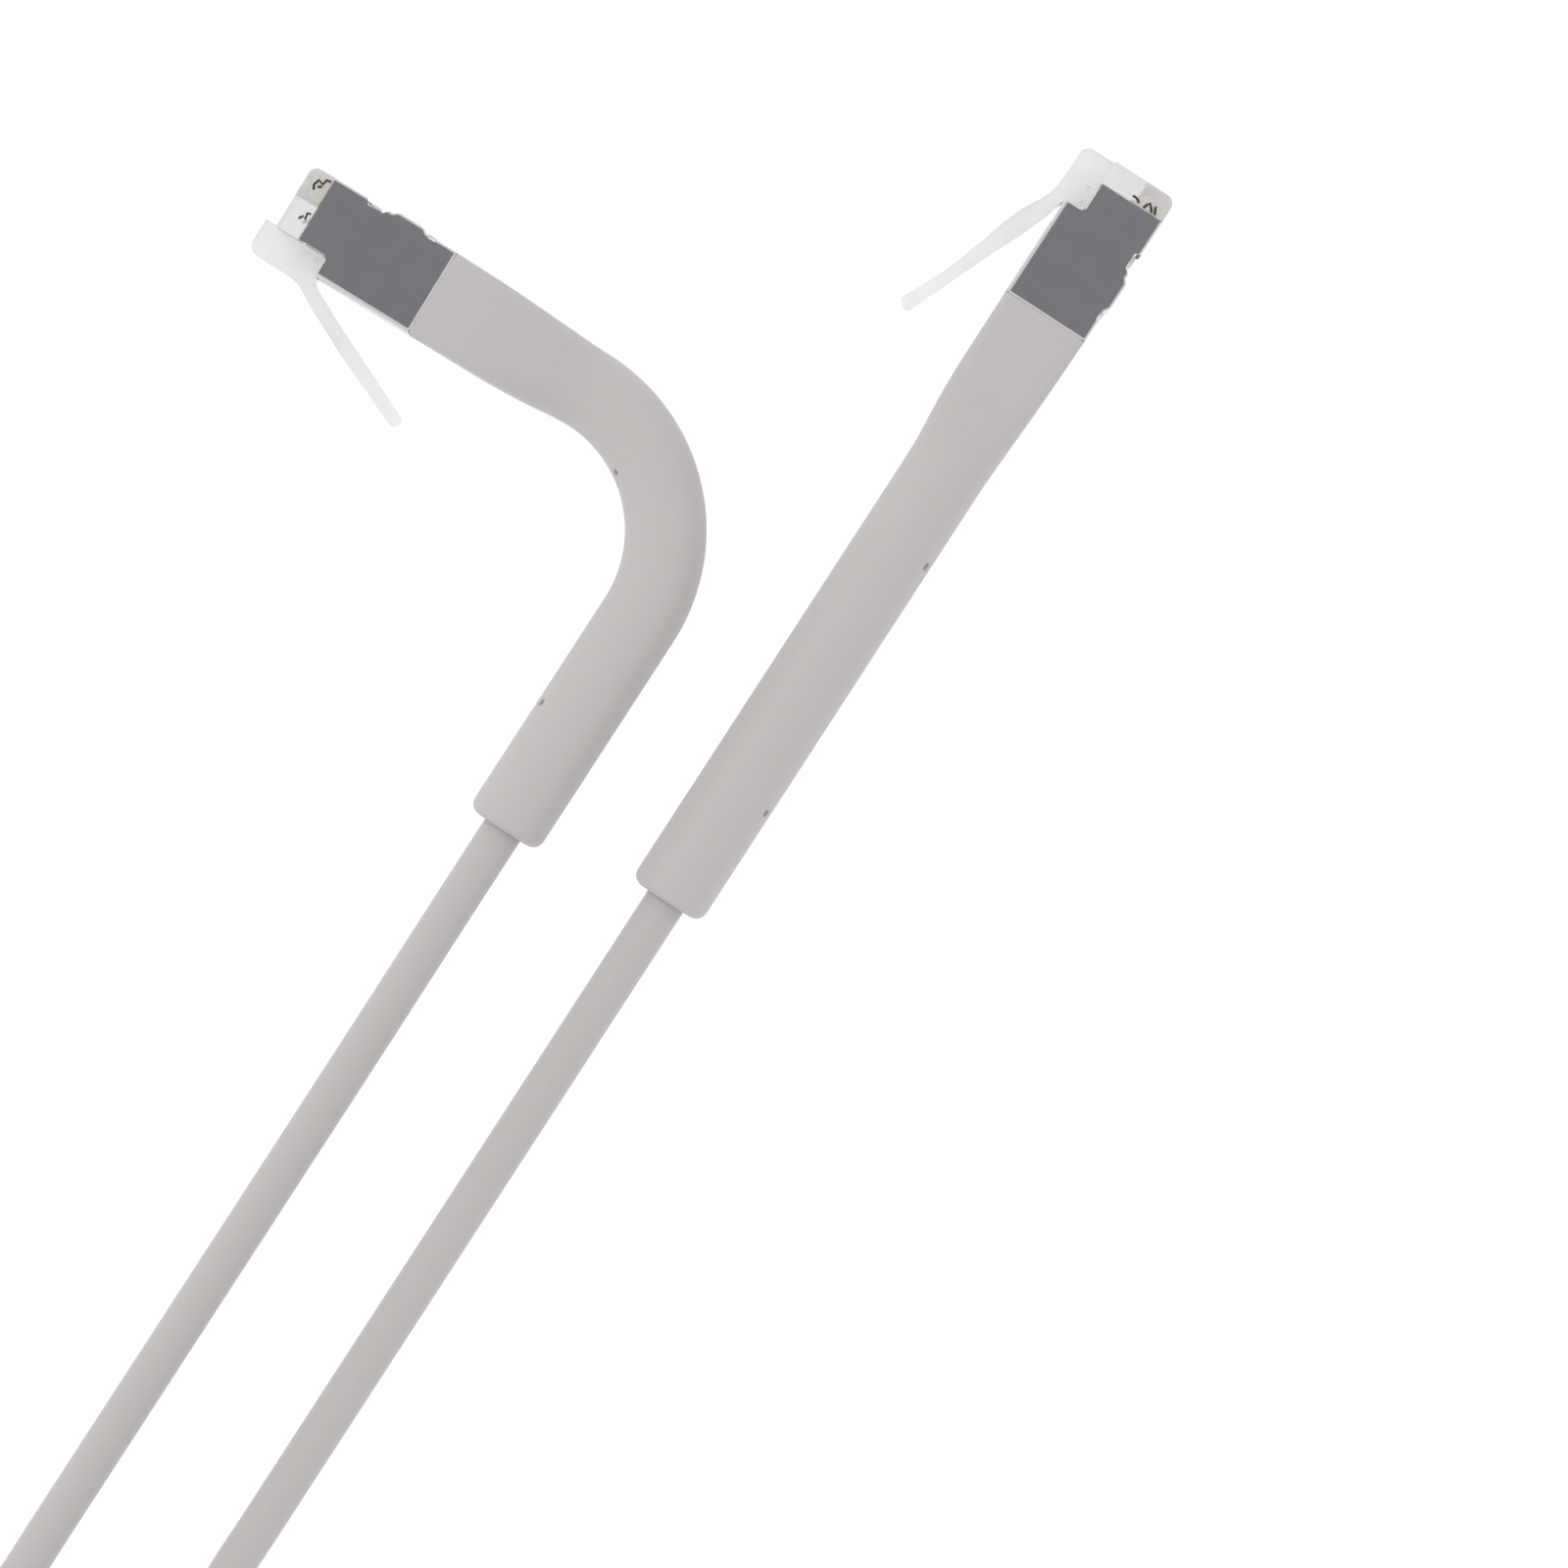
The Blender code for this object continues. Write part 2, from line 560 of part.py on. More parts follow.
def build_end(prefix, origin, bend_deg, shapes):
    """One end of the cable, bent evenly over its pivots towards the latch."""
    base = empty(f"{prefix}_end", None, origin + Vector((0.0, 0.0, AXIS_HEIGHT)))
    place(f"{prefix}_boot_sleeve", shapes["boot_sleeve"], "boot_plastic", base)
    parent, parent_x = base, 0.0
    for i, pivot_x in enumerate(PIVOT_XS):
        name = f"{prefix}_bend_pivot_{i + 1}"
        parent = empty(name, parent, (pivot_x - parent_x, 0.0, 0.0), bend_deg / BEND_PIVOTS)
        parent_x = pivot_x
        back = Vector((-pivot_x, 0.0, 0.0))
        if i < BEND_PIVOTS - 1:
            place(f"{prefix}_boot_link_{i + 1}", shapes[f"boot_link_{i + 1}"], "boot_plastic", parent, back)
        else:
            build_plug(prefix, parent, shapes, back)


def smooth_route(points):
    """Points at even steps along a smooth curve through the route's own points.

    A short step at each end keeps the cord's ends square to the route.
    """
    route = [Vector(point) * MM for point in points]
    ends = [2 * route[0] - route[1], *route, 2 * route[-1] - route[-2]]
    fine = []
    for a, b, c, d in zip(ends, ends[1:], ends[2:], ends[3:]):
        for i in range(SPAN_STEPS):
            t = i / SPAN_STEPS
            fine.append(0.5 * (
                2 * b + (c - a) * t + (2 * a - 5 * b + 4 * c - d) * t**2 + (3 * b - a - 3 * c + d) * t**3
            ))
    fine.append(route[-1])
    total = sum((q - p).length for p, q in zip(fine, fine[1:]))
    count = max(2, round(total / ROUTE_STEP))
    inner, walked, wanted = [], 0.0, total / count
    for p, q in zip(fine, fine[1:]):
        step = (q - p).length
        while len(inner) < count - 1 and walked + step >= wanted:
            inner.append(p.lerp(q, (wanted - walked) / step))
            wanted += total / count
        walked += step
    return [fine[0], fine[END_STEP], *inner, fine[-1 - END_STEP], fine[-1]]


def cord_tube(name, route):
    curve = bpy.data.curves.new(name, "CURVE")
    curve.dimensions = "3D"
    curve.bevel_depth = CORD_RADIUS
    curve.bevel_resolution = 2
    curve.use_fill_caps = True
    points = smooth_route(route)
    spline = curve.splines.new("POLY")
    spline.points.add(len(points) - 1)
    for target, point in zip(spline.points, points):
        target.co = (*(point + NEAR_ORIGIN), 1.0)
    place(name, curve, "jacket", None)


def coil_mesh():
    """The coil's outer shape: a turned ring, with the cord's two straight ends leaving it towards +X."""
    inner = min(COIL_RADII) - CORD_RADIUS
    outer = max(COIL_RADII) + CORD_RADIUS
    low = TIE_THICKNESS + TIE_GAP
    high = low + COIL_LAYERS * CORD_DIAMETER
    corner = CORD_RADIUS / 2
    section = [
        (inner, low + corner), (inner + corner, low), (outer - corner, low), (outer, low + corner),
        (outer, high - corner), (outer - corner, high), (inner + corner, high), (inner, high - corner),
    ]
    bm = bmesh.new()
    rings = []
    for i in range(COIL_STEPS):
        angle = 2 * math.pi * i / COIL_STEPS
        rings.append([bm.verts.new((r * math.cos(angle), r * math.sin(angle), z)) for r, z in section])
    for first, second in zip(rings, rings[1:] + rings[:1]):
        for i in range(len(section)):
            j = (i + 1) % len(section)
            bm.faces.new((first[i], first[j], second[j], second[i]))
    ring = mesh_of(bm)
    stubs = [
        rod(CORD_RADIUS, 0.0, COIL_STUB, side * max(COIL_RADII), height, 12)
        for side, height in ((-1, low + CORD_RADIUS), (1, low + CORD_RADIUS + (COIL_LAYERS - 1) * CORD_DIAMETER))
    ]
    return combine(ring, stubs, "UNION")


def tie_mesh():
    """A flat strap round the coil's bundle, on the side away from the plugs."""
    inner_radius = min(COIL_RADII) - CORD_RADIUS
    inner_wall = math.sqrt(inner_radius**2 - (TIE_WIDTH / 2) ** 2) - TIE_GAP
    outer_wall = max(COIL_RADII) + CORD_RADIUS + TIE_GAP
    high = TIE_THICKNESS + 2 * TIE_GAP + COIL_LAYERS * CORD_DIAMETER
    half = TIE_WIDTH / 2
    t = TIE_THICKNESS
    outside = block((-outer_wall - t, -inner_wall + t), (-half, half), (0.0, high + t))
    inside = block((-outer_wall, -inner_wall), (-half - FACE_GAP, half + FACE_GAP), (t, high))
    return combine(outside, [inside], "DIFFERENCE")


def main():
    clear_scene()
    shapes = {
        "shield_can": shield_mesh(),
        "load_bar": bar_mesh(),
        "contact": blade_mesh(),
        "cord_stub": stub_mesh(),
        "boot_collar": collar_mesh(),
        "boot_sleeve": sleeve_mesh(),
    }
    for number in range(1, BEND_PIVOTS):
        shapes[f"boot_link_{number}"] = link_mesh(number)
    for prefix, origin, bend_deg in (
        ("near", NEAR_ORIGIN, 0.0),
        ("far", NEAR_ORIGIN + FAR_OFFSET, FAR_BEND_DEG),
    ):
        shapes["plug_housing"] = housing_mesh(HOOK_REACHES[prefix])
        shapes["latch_lever"] = lever_mesh(TONGUES[prefix])
        build_end(prefix, origin, bend_deg, shapes)
    cord_tube("cord_lead", LEAD_ROUTE)
    cord_tube("cord_tail", TAIL_ROUTE)
    place("cord_coil", coil_mesh(), "jacket", None, NEAR_ORIGIN + COIL_CENTRE)
    place("coil_tie", tie_mesh(), "tie_fabric", None, NEAR_ORIGIN + COIL_CENTRE)


if __name__ == "__main__":
    main()
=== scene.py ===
"""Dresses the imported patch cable: its cord and coil, both boots, both plugs, and a white studio.

Every shape is drawn in millimetres in the straight frame of its own end: +X towards the nose, +Y
towards the latch, +Z across the plug, with the origin on the plug's axis where the boot meets the
shield. An EndFrame then carries it to its place, and each piece keeps its straight coordinates in
an attribute, so that a finish lies the same way on both ends and stays put when a boot bends.
"""

import json
import logging
import math
from collections.abc import Callable, Iterable, Sequence
from dataclasses import dataclass, field
from enum import Enum

import bmesh
import bpy
import numpy as np
from mathutils import Matrix, Vector

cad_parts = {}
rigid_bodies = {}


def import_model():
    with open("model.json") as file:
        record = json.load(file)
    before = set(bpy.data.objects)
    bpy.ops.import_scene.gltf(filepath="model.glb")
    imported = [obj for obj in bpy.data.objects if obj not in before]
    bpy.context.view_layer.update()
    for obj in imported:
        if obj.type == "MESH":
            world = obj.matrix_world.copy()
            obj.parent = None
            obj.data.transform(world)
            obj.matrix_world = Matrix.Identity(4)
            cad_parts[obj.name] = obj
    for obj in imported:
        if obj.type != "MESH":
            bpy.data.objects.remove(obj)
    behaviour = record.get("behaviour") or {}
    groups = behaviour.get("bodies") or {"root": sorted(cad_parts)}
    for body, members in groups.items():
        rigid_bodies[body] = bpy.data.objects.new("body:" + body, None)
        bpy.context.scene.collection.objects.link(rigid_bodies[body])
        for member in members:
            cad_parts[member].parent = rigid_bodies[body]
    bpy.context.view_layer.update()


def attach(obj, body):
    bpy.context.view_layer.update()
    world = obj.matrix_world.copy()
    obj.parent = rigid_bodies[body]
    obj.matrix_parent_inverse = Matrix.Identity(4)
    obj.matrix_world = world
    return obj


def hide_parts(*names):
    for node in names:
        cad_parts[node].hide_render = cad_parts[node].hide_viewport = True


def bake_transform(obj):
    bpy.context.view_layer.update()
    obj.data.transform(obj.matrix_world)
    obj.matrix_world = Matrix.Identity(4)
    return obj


LOG = logging.getLogger("patch_cable")

MM = 0.001
TO_METRES = Matrix.Scale(MM, 4)
LOCAL = "local"  # the attribute that holds a piece's straight coordinates, in millimetres
SHARP_DEG = 35.0

AXIS_HEIGHT = 6.1
NEAR_ORIGIN = Vector((23.8, -3.745, 0.0))
FAR_OFFSET = Vector((-2.6, 15.85, 0.0))
FAR_BEND_DEG = 91.5
PIVOT_XS = tuple(-38.1 + 4.0 * i for i in range(6))
HALF_SPACING = 2.0

CORD_RADIUS = 1.9
HALF_WIDTH = 5.84
BOOT_COLOUR = (0.49, 0.464, 0.459)
WIRE_COLOURS = {
    "orange": (0.85, 0.25, 0.04),
    "green": (0.03, 0.35, 0.09),
    "blue": (0.03, 0.12, 0.6),
    "brown": (0.2, 0.09, 0.04),
}
BAND_PITCH = 2.4  # from one band of colour to the next on a white wire
# Where the mould's pins have marked each boot's side: each mark is pressed in as a dimple, and its colour
# darkened with painted shade
PIN_MARKS = {
    "near": ((-51.1, -3.35, 1.6), (-24.6, -3.35, 1.6)),
    "far": ((-51.1, 3.35, 1.6), (-24.6, 3.35, 1.6)),
}

Point = tuple[float, float, float]
Outline = list[tuple[float, float]]


# ---------------------------------------------------------------- shapes


def arc(centre: tuple[float, float], radius: float, start_deg: float, end_deg: float, steps: int) -> Outline:
    """Points along an arc in X and Y, both ends included."""
    angles = np.radians(np.linspace(start_deg, end_deg, steps + 1))
    return [(centre[0] + radius * math.cos(a), centre[1] + radius * math.sin(a)) for a in angles]


def catmull(points: Sequence[Vector], steps: int) -> list[Vector]:
    """A smooth line through the points.

    Args:
        points: The points, in order.
        steps: Fine steps between two of them.

    Returns:
        The fine points, with both ends.
    """
    ends = [2 * points[0] - points[1], *points, 2 * points[-1] - points[-2]]
    fine = []
    for a, b, c, d in zip(ends, ends[1:], ends[2:], ends[3:]):
        for i in range(steps):
            t = i / steps
            square, cube = 2 * a - 5 * b + 4 * c - d, 3 * b - a - 3 * c + d
            fine.append(0.5 * (2 * b + (c - a) * t + square * t**2 + cube * t**3))
    return [*fine, points[-1].copy()]


def smooth_outline(points: Iterable[tuple[float, float]], steps: int = 5) -> Outline:
    """A smooth open outline through points in X and Y."""
    return [(p.x, p.y) for p in catmull([Vector((x, y, 0.0)) for x, y in points], steps)]


def mesh_of(bm: bmesh.types.BMesh) -> bpy.types.Mesh:
    """Finishes a bmesh, with its faces turned outwards.

    Args:
        bm: The bmesh, which is freed.

    Returns:
        Its mesh.
    """
    bmesh.ops.recalc_face_normals(bm, faces=bm.faces)
    mesh = bpy.data.meshes.new("shape")
    bm.to_mesh(mesh)
    bm.free()
    return mesh


def loft(rings: Sequence[Sequence[Point]]) -> bpy.types.Mesh:
    """A closed solid through rings of the same number of points, with flat ends.

    Args:
        rings: The rings, each a list of points in order.

    Returns:
        The closed mesh.
    """
    bm = bmesh.new()
    loops = [[bm.verts.new(point) for point in ring] for ring in rings]
    count = len(loops[0])
    for first, second in zip(loops, loops[1:]):
        for i in range(count):
            j = (i + 1) % count
            bm.faces.new((first[i], first[j], second[j], second[i]))
    bm.faces.new(loops[0])
    bm.faces.new(loops[-1])
    return mesh_of(bm)


def prism(outline: Outline, low: float, high: float) -> bpy.types.Mesh:
    """An outline in X and Y, extruded along Z."""
    return loft([[(x, y, z) for x, y in outline] for z in (low, high)])


def block(x: Sequence[float], y: Sequence[float], z: Sequence[float]) -> bpy.types.Mesh:
    """A box between the two ends given for each axis."""
    return prism([(x[0], y[0]), (x[1], y[0]), (x[1], y[1]), (x[0], y[1])], z[0], z[1])


def round_box_ring(
    x: float, low: float, high: float, half_width: float, corner: float, sides: int
) -> list[Point]:
    """A ring across X.

    Args:
        x: Where it lies.
        low: Its lowest Y.
        high: Its highest Y.
        half_width: Its reach along Z on each side.
        corner: The radius of its four corners.
        sides: How many points it has.

    Returns:
        The ring's points.
    """
    middle, half_height = (low + high) / 2, (high - low) / 2
    corner = min(corner, half_height, half_width)
    points = []
    for i in range(sides):
        angle = 2 * math.pi * (i + 0.5) / sides
        across, up = math.cos(angle), math.sin(angle)
        y = math.copysign(half_height - corner, across) + corner * across
        z = math.copysign(half_width - corner, up) + corner * up
        points.append((x, middle + y, z))
    return points


def round_ring(x: float, radius: float, sides: int) -> list[Point]:
    """A round ring across X."""
    return round_box_ring(x, -radius, radius, radius, radius, sides)


def rod(
    radius: float, start: float, end: float, y: float = 0.0, z: float = 0.0, sides: int = 24
) -> bpy.types.Mesh:
    """A round bar along X.

    Args:
        radius: Its radius.
        start: Where it starts along X.
        end: Where it ends.
        y: Its axis's Y.
        z: Its axis's Z.
        sides: How many sides it has.

    Returns:
        The bar's mesh.
    """
    rings = [round_ring(x, radius, sides) for x in (start, end)]
    return loft([[(px, py + y, pz + z) for px, py, pz in ring] for ring in rings])


def evaluated(mesh: bpy.types.Mesh, add: Callable[[bpy.types.Object], None]) -> bpy.types.Mesh:
    """A mesh after its modifiers.

    Args:
        mesh: The mesh.
        add: Puts the modifiers on an object that holds it.

    Returns:
        The result as a plain mesh.
    """
    body = bpy.data.objects.new("body", mesh)
    bpy.context.scene.collection.objects.link(body)
    add(body)
    graph = bpy.context.evaluated_depsgraph_get()
    result = bpy.data.meshes.new_from_object(body.evaluated_get(graph))
    bpy.data.objects.remove(body, do_unlink=True)
    return result


def combine(mesh: bpy.types.Mesh, others: Sequence[bpy.types.Mesh], operation: str) -> bpy.types.Mesh:
    """A mesh joined with, or cut by, others.

    Args:
        mesh: The mesh.
        others: The meshes to join to it or to cut from it.
        operation: The Boolean's operation, UNION or DIFFERENCE.

    Returns:
        The result as a plain mesh.
    """
    tools = [bpy.data.objects.new("tool", other) for other in others]

    def add(body: bpy.types.Object) -> None:
        """Puts one Boolean on the body for each tool.

        Args:
            body: The object that holds the mesh.
        """
        for tool in tools:
            bpy.context.scene.collection.objects.link(tool)
            modifier = body.modifiers.new("combine", "BOOLEAN")
            modifier.operation = operation
            modifier.object = tool

    result = evaluated(mesh, add)
    for tool in tools:
        bpy.data.objects.remove(tool, do_unlink=True)
    return result


def bevelled(
    mesh: bpy.types.Mesh, width: float, segments: int = 3, angle_deg: float = 40.0
) -> bpy.types.Mesh:
    """The mesh with its sharp edges rounded.

    Args:
        mesh: The mesh, which is changed.
        width: The rounding's width, in millimetres.
        segments: How many faces each rounding has across it.
        angle_deg: The least angle at an edge that is rounded.

    Returns:
        A new mesh.
    """
    bm = bmesh.new()
    bm.from_mesh(mesh)
    bmesh.ops.remove_doubles(bm, verts=bm.verts, dist=1e-4)
    bmesh.ops.dissolve_limit(bm, angle_limit=math.radians(0.5), verts=bm.verts, edges=bm.edges)
    bm.to_mesh(mesh)
    bm.free()

    def add(body: bpy.types.Object) -> None:
        """Puts a Bevel on the body, and keeps its flats flat.

        Args:
            body: The object that holds the mesh.
        """
        modifier = body.modifiers.new("round", "BEVEL")
        modifier.width = width
        modifier.segments = segments
        modifier.limit_method = "ANGLE"
        modifier.angle_limit = math.radians(angle_deg)
        modifier.use_clamp_overlap = True
        weighted = body.modifiers.new("flats", "WEIGHTED_NORMAL")
        weighted.weight = 90
        weighted.keep_sharp = True

    mesh.shade_smooth()
    return evaluated(mesh, add)


def join(meshes: Sequence[bpy.types.Mesh], slots: Sequence[int] | None = None) -> bpy.types.Mesh:
    """Several closed shells in one mesh.

    Args:
        meshes: The shells.
        slots: The material index of each shell, or None for the first material throughout.

    Returns:
        One mesh that holds them all.
    """
    bm = bmesh.new()
    for number, mesh in enumerate(meshes):
        before = len(bm.faces)
        bm.from_mesh(mesh)
        bm.faces.ensure_lookup_table()
        if slots:
            for face in bm.faces[before:]:
                face.material_index = slots[number]
    result = bpy.data.meshes.new("shape")
    bm.to_mesh(result)
    bm.free()
    return result


def tube(points: Sequence[Vector], radius: float, sides: int) -> tuple[bpy.types.Mesh, np.ndarray]:
    """A round tube along a line in space.

    Args:
        points: The line, in millimetres.
        radius: The tube's radius.
        sides: How many sides it has.

    Returns:
        The closed mesh, and for each vertex how far along it lies and its place round the line.
    """
    tangents = [(b - a).normalized() for a, b in zip(points, points[1:])]
    tangents = [tangents[0], *((a + b).normalized() for a, b in zip(tangents, tangents[1:])), tangents[-1]]
    normal = Vector((0.0, 0.0, 1.0))
    rings, marks, walked = [], [], 0.0
    for i, (point, tangent) in enumerate(zip(points, tangents)):
        normal = (normal - tangent * normal.dot(tangent)).normalized()
        side = tangent.cross(normal)
        walked += (point - points[i - 1]).length if i else 0.0
        ring = []
        for k in range(sides):
            angle = 2 * math.pi * k / sides
            across, up = radius * math.cos(angle), radius * math.sin(angle)
            ring.append(tuple(point + side * across + normal * up))
            marks.append((walked, across, up))
        rings.append(ring)
    return loft(rings), np.array(marks, np.float32)


def add_piece(
    name: str,
    mesh: bpy.types.Mesh,
    materials: Sequence[bpy.types.Material],
    place: Matrix,
    local: np.ndarray | None = None,
) -> bpy.types.Object:
    """Puts a mesh into the scene as a named piece, with its straight coordinates kept as an attribute.

    Args:
        name: The piece's name.
        mesh: Its mesh, in millimetres in its own straight frame.
        materials: Its materials, in the order of its faces' indices.
        place: Carries its points to the model's frame, in metres.
        local: The straight coordinates, where the mesh's own points aren't these.

    Returns:
        The piece, with its object at the origin.
    """
    if local is None:
        local = np.empty(len(mesh.vertices) * 3, np.float32)
        mesh.vertices.foreach_get("co", local)
    attribute = mesh.attributes.new(LOCAL, "FLOAT_VECTOR", "POINT")
    attribute.data.foreach_set("vector", np.ascontiguousarray(local, np.float32).ravel())
    mesh.transform(place)
    indices = [polygon.material_index for polygon in mesh.polygons]
    mesh.materials.clear()
    for material in materials:
        mesh.materials.append(material)
    mesh.polygons.foreach_set("material_index", [min(i, len(materials) - 1) for i in indices])
    if not mesh.has_custom_normals:
        mesh.shade_smooth()
        mesh.set_sharp_from_angle(angle=math.radians(SHARP_DEG))
    mesh.name = name
    piece = bpy.data.objects.new(name, mesh)
    bpy.context.scene.collection.objects.link(piece)
    LOG.info("%s: %d faces", name, len(mesh.polygons))
    return piece


@dataclass
class EndFrame:
    """Where one end of the cable lies, and how its boot is bent at rest."""

    prefix: str
    origin: Vector
    bend_deg: float
    links: list[Matrix] = field(default_factory=list)

    def __post_init__(self) -> None:
        """Works out the frame of the sleeve, of each link and of the plug."""
        turn = Matrix.Rotation(math.radians(self.bend_deg / len(PIVOT_XS)), 4, "Z")
        frame = Matrix.Translation(self.origin + Vector((0.0, 0.0, AXIS_HEIGHT)))
        self.links = [frame]
        for x in PIVOT_XS:
            pivot = Vector((x, 0.0, 0.0))
            frame = frame @ Matrix.Translation(pivot) @ turn @ Matrix.Translation(-pivot)
            self.links.append(frame)

    @property
    def plug(self) -> Matrix:
        """Carries the plug's millimetres to the model's metres."""
        return TO_METRES @ self.links[-1]

    def at(self, link: int, x: float, y: float = 0.0) -> Vector:
        """A point of one link's straight frame, in the model's metres."""
        return TO_METRES @ self.links[link] @ Vector((x, y, 0.0))

    def bent(self, point: Point) -> Vector:
        """Carries a point of the straight boot to where the boot lies at rest.

        Args:
            point: The point, in millimetres in the straight frame.

        Returns:
            The point in the model's metres.
        """
        start, end = PIVOT_XS[0] - HALF_SPACING, PIVOT_XS[-1] + HALF_SPACING
        x, y, z = point
        if x <= start or self.bend_deg == 0.0:
            return TO_METRES @ self.links[0] @ Vector(point)
        if x >= end:
            return TO_METRES @ self.links[-1] @ Vector(point)
        step = math.radians(self.bend_deg / len(PIVOT_XS))
        radius = HALF_SPACING / math.tan(step / 2)
        angle = math.radians(self.bend_deg) * (x - start) / (end - start)
        turned = Vector((start + (radius - y) * math.sin(angle), radius - (radius - y) * math.cos(angle), z))
        return TO_METRES @ self.links[0] @ turned


# ---------------------------------------------------------------- nodes


class NodeTree:
    """Builds a node tree a node at a time."""

    def __init__(self, tree: bpy.types.NodeTree) -> None:
        """Starts on a tree."""
        self.tree = tree

    def add(self, kind: str, inputs: dict | None = None, **settings: object) -> bpy.types.Node:
        """Makes a node.

        Args:
            kind: The node's type.
            inputs: For each input, by name or number, a value or the socket that feeds it.
            **settings: The node's own properties.

        Returns:
            The node.
        """
        node = self.tree.nodes.new(kind)
        for name, value in settings.items():
            setattr(node, name, value)
        self.feed(node, inputs or {})
        return node

    def feed(self, node: bpy.types.Node, inputs: dict) -> None:
        """Sets or links a node's inputs.

        Args:
            node: The node.
            inputs: A value or a socket for each input, by its name or number.
        """
        for name, value in inputs.items():
            if isinstance(value, bpy.types.NodeSocket):
                self.tree.links.new(value, node.inputs[name])
            else:
                node.inputs[name].default_value = value

    def maths(self, operation: str, *values: object) -> bpy.types.NodeSocket:
        """The result of a Math node on values or sockets."""
        return self.add("ShaderNodeMath", dict(enumerate(values)), operation=operation).outputs[0]

    def mix(self, factor: object, first: object, second: object) -> bpy.types.NodeSocket:
        """A mix of two colours."""
        return self.add("ShaderNodeMix", {0: factor, 6: first, 7: second}, data_type="RGBA").outputs[2]

    def span(
        self, value: object, low: float, high: float, to: tuple[float, float] = (0.0, 1.0)
    ) -> bpy.types.NodeSocket:
        """A value's smooth place between two others, carried to another span.

        Args:
            value: The value, or the socket that gives it.
            low: Where the span starts.
            high: Where it ends.
            to: The results at its start and end.

        Returns:
            The socket of the result.
        """
        inputs = {"Value": value, "From Min": low, "From Max": high, "To Min": to[0], "To Max": to[1]}
        return self.add("ShaderNodeMapRange", inputs, interpolation_type="SMOOTHSTEP").outputs["Result"]

    def stretched(self, vector: bpy.types.NodeSocket, scale: Point) -> bpy.types.NodeSocket:
        """A vector scaled along each axis."""
        return self.add("ShaderNodeMapping", {"Vector": vector, "Scale": scale}).outputs["Vector"]

    def noise(self, vector: bpy.types.NodeSocket, scale: object, detail: float = 2.0) -> bpy.types.NodeSocket:
        """Smooth noise from 0 to 1."""
        inputs = {"Vector": vector, "Scale": scale, "Detail": detail, "Roughness": 0.55}
        return self.add("ShaderNodeTexNoise", inputs).outputs["Fac"]


def rgba(colour: Sequence[float]) -> tuple[float, ...]:
    """A colour with full alpha."""
    return (*colour, 1.0)


class Effect(Enum):
    """The shared surface effects, each a shader node group."""

    TONE = "Tone drift"
    GRAIN = "Moulded grain"
    SCRATCHES = "Hairline scratches"


